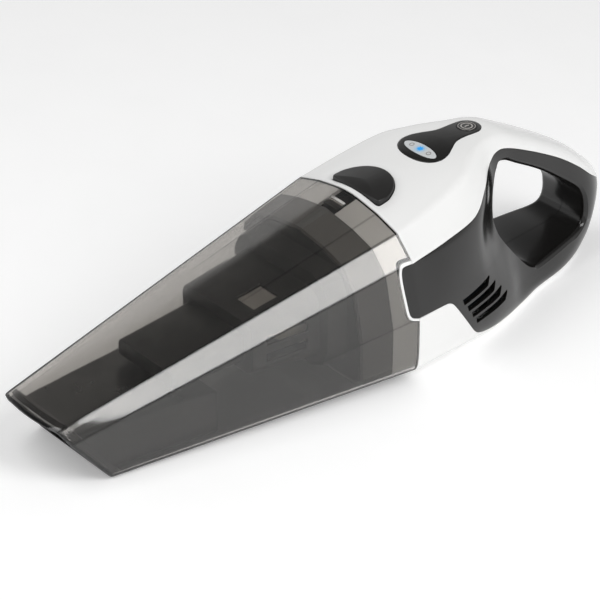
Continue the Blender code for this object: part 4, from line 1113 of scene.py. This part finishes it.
def button_outline(grow):
    """The release button from above: straight in front and round behind."""
    across, deep, front = 21.5 + grow, 23.6 + grow, 4.6
    turn = np.linspace(0.0, math.pi, 45)[4:-4]
    arc = np.column_stack([across * np.cos(turn), front + deep * np.sin(turn) ** 0.9])
    bend = np.array([(0.0, -1.0), (0.55, -0.85), (0.85, -0.5), (1.0, 0.0)])
    corner = np.column_stack([across - 3.2 + 2.4 * bend[:, 0],
                              front + 2.4 - grow + 2.4 * bend[:, 1]])
    return np.vstack([corner, arc, (corner * (-1, 1))[::-1]])


def panel_outline(grow):
    """The control panel from above: wide in front, drawn in to a neck, round behind."""
    front, back = 45.0 - grow, 99.0 + grow
    length = back - front
    wide, neck = 17.5 + grow, 8.5 + grow
    half = [(0.0, front), (wide * 0.45, front + length * 0.02), (wide * 0.8, front + length * 0.08),
            (wide * 0.97, front + length * 0.16), (wide, front + length * 0.23),
            (wide * 0.93, front + length * 0.32), (wide * 0.75, front + length * 0.42),
            (neck * 1.12, front + length * 0.53), (neck, front + length * 0.64),
            (neck, back - neck * 1.0), (neck * 0.87, back - neck * 0.5),
            (neck * 0.5, back - neck * 0.13), (0.0, back)]
    loop = half + [(-x, y) for x, y in reversed(half[1:-1])]
    return smooth_loop(loop, 5)


def window_outline(grow=0.0):
    return ellipse(0.0, WINDOW_Y, 13.4 + grow, 4.3 + grow, 64)


def on_top(outline, rise):
    """A flat outline laid on the body's top, raised by rise: a number or a function of y."""
    lift = rise if callable(rise) else (lambda y: rise)
    return np.array([(x, y, top_height(x, y) + lift(y)) for x, y in outline])


def key(name, outline, foot, rise, rounding, centre):
    """A key that stands in the body's top: a wall, a rounded edge and a face that follows it."""
    outline = np.asarray(outline, float)
    lift = rise if callable(rise) else (lambda y: rise)
    rings = [on_top(outline, -foot), on_top(outline, lambda y: lift(y) - rounding)]
    for angle in np.linspace(0.0, math.pi / 2, 6)[1:]:
        inset = rounding * (1 - math.cos(angle))
        rings.append(on_top(offset_loop(outline, inset),
                            lambda y, a=angle: lift(y) - rounding * (1 - math.sin(a))))
    face = offset_loop(outline, rounding)
    middle = np.array(centre[:2])
    for share in (0.92, 0.8, 0.6, 0.4, 0.2, 0.02):
        rings.append(on_top(middle + (face - middle) * share, lift))
    return skin(name, rings)


def band(name, x, y, outer, inner, rise):
    """A thin printed ring on the body's top."""
    loops = [circle(x, y, radius) for radius in (outer, inner)]
    return skin(name, [on_top(loops[0], rise - 0.2), on_top(loops[0], rise),
                       on_top(loops[1], rise), on_top(loops[1], rise - 0.2)], closed=True)


class HANDVACUUM_OT_release(bpy.types.Operator):
    """Model the release button and its latch hook"""
    bl_idname = "hand_vacuum.release"
    bl_label = "Release Button"

    def execute(self, context):
        rise = in_mm(settings().button_rise)
        dish = in_mm(settings().dish_depth)

        def lift(y):
            return np.interp(y, (4.0, 28.0), (rise, rise * 0.2)) - dish * 0.3

        button = key("release_key", button_outline(0.0), 6.0, lift, 0.7, (0.0, 13.0))
        dress(button, button_abs(), "release_latch", "black_plastic", "release_button")
        hook = refined("latch_hook", "latch_hook_arm", 0.4)
        dress(hook, satin_black_abs(), "release_latch", "black_plastic", "latch_hook")
        paint_nodes(drawn_steel(), "release_spring")
        return {"FINISHED"}


class HANDVACUUM_OT_controls(bpy.types.Operator):
    """Model the control panel, the status window and the power button with their marks"""
    bl_idname = "hand_vacuum.controls"
    bl_label = "Control Panel"

    def execute(self, context):
        panel = key("control_plate", panel_outline(0.0), 1.4, 0.2, 0.35, (0.0, 70.0))
        carve(panel, prism("window_seat", window_outline(GAP), 90.0, 130.0, axis="Z"))
        seat = circle(0.0, POWER_Y, 6.0 + GAP, 64)
        carve(panel, prism("power_seat", seat, 90.0, 130.0, axis="Z"))
        shade_as_uncut(panel)
        dress(panel, charcoal_abs(), "housing", "charcoal_plastic", "control_panel")
        window = key("status_lens", window_outline(), 1.3, 0.25, 0.3, (0.0, WINDOW_Y))
        dress(window, frosted_acrylic(), "housing", "window_plastic", "status_window")
        power = key("power_key", circle(0.0, POWER_Y, 6.0, 64), 5.0, 0.45, 0.4, (0.0, POWER_Y))
        dress(power, charcoal_abs(), "power_button", "black_plastic", "power_button")
        pale = print_ink("pale_pad_ink", "#B9B5B1")
        bar = [(x, POWER_Y + y) for x, y in ((-0.4, -1.6), (0.4, -1.6), (0.4, 1.7), (-0.4, 1.7))]
        for mark in (band("power_ring", 0.0, POWER_Y, 3.7, 3.0, 0.53),
                     band("power_rim", 0.0, POWER_Y, 5.3, 5.0, 0.53),
                     key("power_bar", bar, -0.35, 0.53, 0.05, (0.0, POWER_Y))):
            dress(mark, pale, "power_button", "white_plastic")
        turn = np.arange(16) * math.pi / 8
        reach = np.where(np.arange(16) % 2 == 0, 2.7, 1.25)
        star = np.column_stack([reach * np.cos(turn), WINDOW_Y + reach * np.sin(turn)])
        lamp = key("lamp_star", star, -0.1, 0.33, 0.05, (0.0, WINDOW_Y))
        dress(lamp, lit_ink(), "housing", "blue_lamp")
        grey = print_ink("grey_pad_ink", "#8E8C8A")
        for side, name in ((-1, "left_lamp_ring"), (1, "right_lamp_ring")):
            ring = band(name, side * LAMP_MARK_X, WINDOW_Y, 1.6, 1.1, 0.33)
            dress(ring, grey, "housing", "white_plastic")
        return {"FINISHED"}


class HANDVACUUM_OT_inner_parts(bpy.types.Operator):
    """Finish the drive, the battery and the boards inside the covers"""
    bl_idname = "hand_vacuum.inner_parts"
    bl_label = "Inner Parts"

    def execute(self, context):
        black = satin_black_abs("inner_abs_moulded", 0.45)
        paint_nodes(black, "fan_housing", "fan_impeller", "battery_holder", "charge_socket")
        paint_nodes(zinc_plate(), "motor", "housing_screw_1", "housing_screw_2",
                    "housing_screw_3", "housing_screw_4")
        paint_nodes(drawn_steel(), "motor_shaft")
        paint_nodes(silicone_rubber("mount_rubber", "#1C1C1C"), "motor_mount_front",
                    "motor_mount_rear")
        paint_nodes(shrink_wrap(), "battery_cell_1", "battery_cell_2", "battery_cell_3")
        paint_nodes(board_mask(), "light_board", "control_board")
        paint_nodes(lit_ink(), "status_lamp")
        return {"FINISHED"}


CAMERA_PLACE = (1.2248, -1.0273 + RIM_Y * MM, 0.9675)
CAMERA_AZIMUTH, CAMERA_ELEVATION = math.radians(51.0), math.radians(30.5)
BACKDROP, CEILING = 0.65, 0.16  # how bright the room is around the vacuum and above it
FLOOR_GLOW = 0.2


class HANDVACUUM_OT_stage(bpy.types.Operator):
    """Set up the floor, the soft studio light and the camera"""
    bl_idname = "hand_vacuum.stage"
    bl_label = "Stage"

    def execute(self, context):
        bpy.ops.object.select_all(action="DESELECT")
        bpy.ops.mesh.primitive_plane_add(size=8.0, location=(0.0, 0.0, 0.0))
        floor = context.object
        floor.name = "studio_floor"
        paper, _, shader = moulded("studio_paper", linear("#FBFBFB"), linear("#F7F7F7"), 0.9)
        shader.inputs["Emission Color"].default_value = (1.0, 1.0, 1.0, 1.0)
        shader.inputs["Emission Strength"].default_value = FLOOR_GLOW
        floor.data.materials.append(paper)
        world = bpy.data.worlds.new("studio")
        context.scene.world = world
        world.use_nodes = True
        # A white backdrop all round, under a darker ceiling.
        tree = world.node_tree
        room = tree.nodes["Background"]
        room.inputs["Color"].default_value = (1.0, 1.0, 1.0, 1.0)
        level = ramp(tree, coordinates(tree, "Generated")["Z"], 0.5, 0.64, BACKDROP, CEILING)
        tree.links.new(level, room.inputs["Strength"])
        softbox("key_light", (0.705, 0.1, 0.7), 1.38, (0.5, 0.9), 7.8)
        softbox("front_light", (-0.1, -0.5, 0.85), 1.8, (1.3, 1.3), 12.0)
        camera_data = bpy.data.cameras.new("camera")
        camera = bpy.data.objects.new("camera", camera_data)
        context.scene.collection.objects.link(camera)
        back = Vector((math.sin(CAMERA_AZIMUTH) * math.cos(CAMERA_ELEVATION),
                       -math.cos(CAMERA_AZIMUTH) * math.cos(CAMERA_ELEVATION),
                       math.sin(CAMERA_ELEVATION)))
        camera.location = CAMERA_PLACE
        camera.rotation_euler = (-back).to_track_quat("-Z", "Y").to_euler()
        camera_data.sensor_width = 36.0
        camera_data.lens = 190.0
        camera_data.clip_end = 50.0
        context.scene.camera = camera
        context.scene.view_settings.view_transform = "Standard"
        return {"FINISHED"}


def softbox(name, direction, distance, size, power):
    """An area light, wide by tall, that faces the vacuum."""
    light = bpy.data.lights.new(name, "AREA")
    light.shape = "RECTANGLE"
    light.size, light.size_y = size
    light.energy = power
    lamp = bpy.data.objects.new(name, light)
    bpy.context.scene.collection.objects.link(lamp)
    aim = Vector(direction).normalized()
    lamp.location = aim * distance
    lamp.rotation_euler = aim.to_track_quat("Z", "Y").to_euler()
    return lamp


STEPS = ("dust_bowl", "inlet", "filter", "collar", "covers", "side_panels", "release",
         "controls", "inner_parts", "stage")


class HANDVACUUM_PT_panel(bpy.types.Panel):
    """Settings and steps of the hand vacuum"""
    bl_idname = "HANDVACUUM_PT_panel"
    bl_label = "Hand Vacuum"
    bl_space_type = "VIEW_3D"
    bl_region_type = "UI"
    bl_category = "Hand Vacuum"

    def draw(self, context):
        for name in HandVacuumSettings.__annotations__:
            self.layout.prop(context.scene.hand_vacuum, name)
        for step in STEPS:
            self.layout.operator("hand_vacuum." + step)


CLASSES = (HandVacuumSettings, HANDVACUUM_OT_dust_bowl, HANDVACUUM_OT_inlet,
           HANDVACUUM_OT_filter, HANDVACUUM_OT_collar, HANDVACUUM_OT_covers,
           HANDVACUUM_OT_side_panels, HANDVACUUM_OT_release, HANDVACUUM_OT_controls,
           HANDVACUUM_OT_inner_parts, HANDVACUUM_OT_stage, HANDVACUUM_PT_panel)


def register():
    for cls in CLASSES:
        bpy.utils.register_class(cls)
    bpy.types.Scene.hand_vacuum = bpy.props.PointerProperty(type=HandVacuumSettings)


def unregister():
    del bpy.types.Scene.hand_vacuum
    for cls in reversed(CLASSES):
        bpy.utils.unregister_class(cls)


def main():
    register()
    for step in STEPS:
        getattr(bpy.ops.hand_vacuum, step)()


if __name__ == "__main__":
    main()
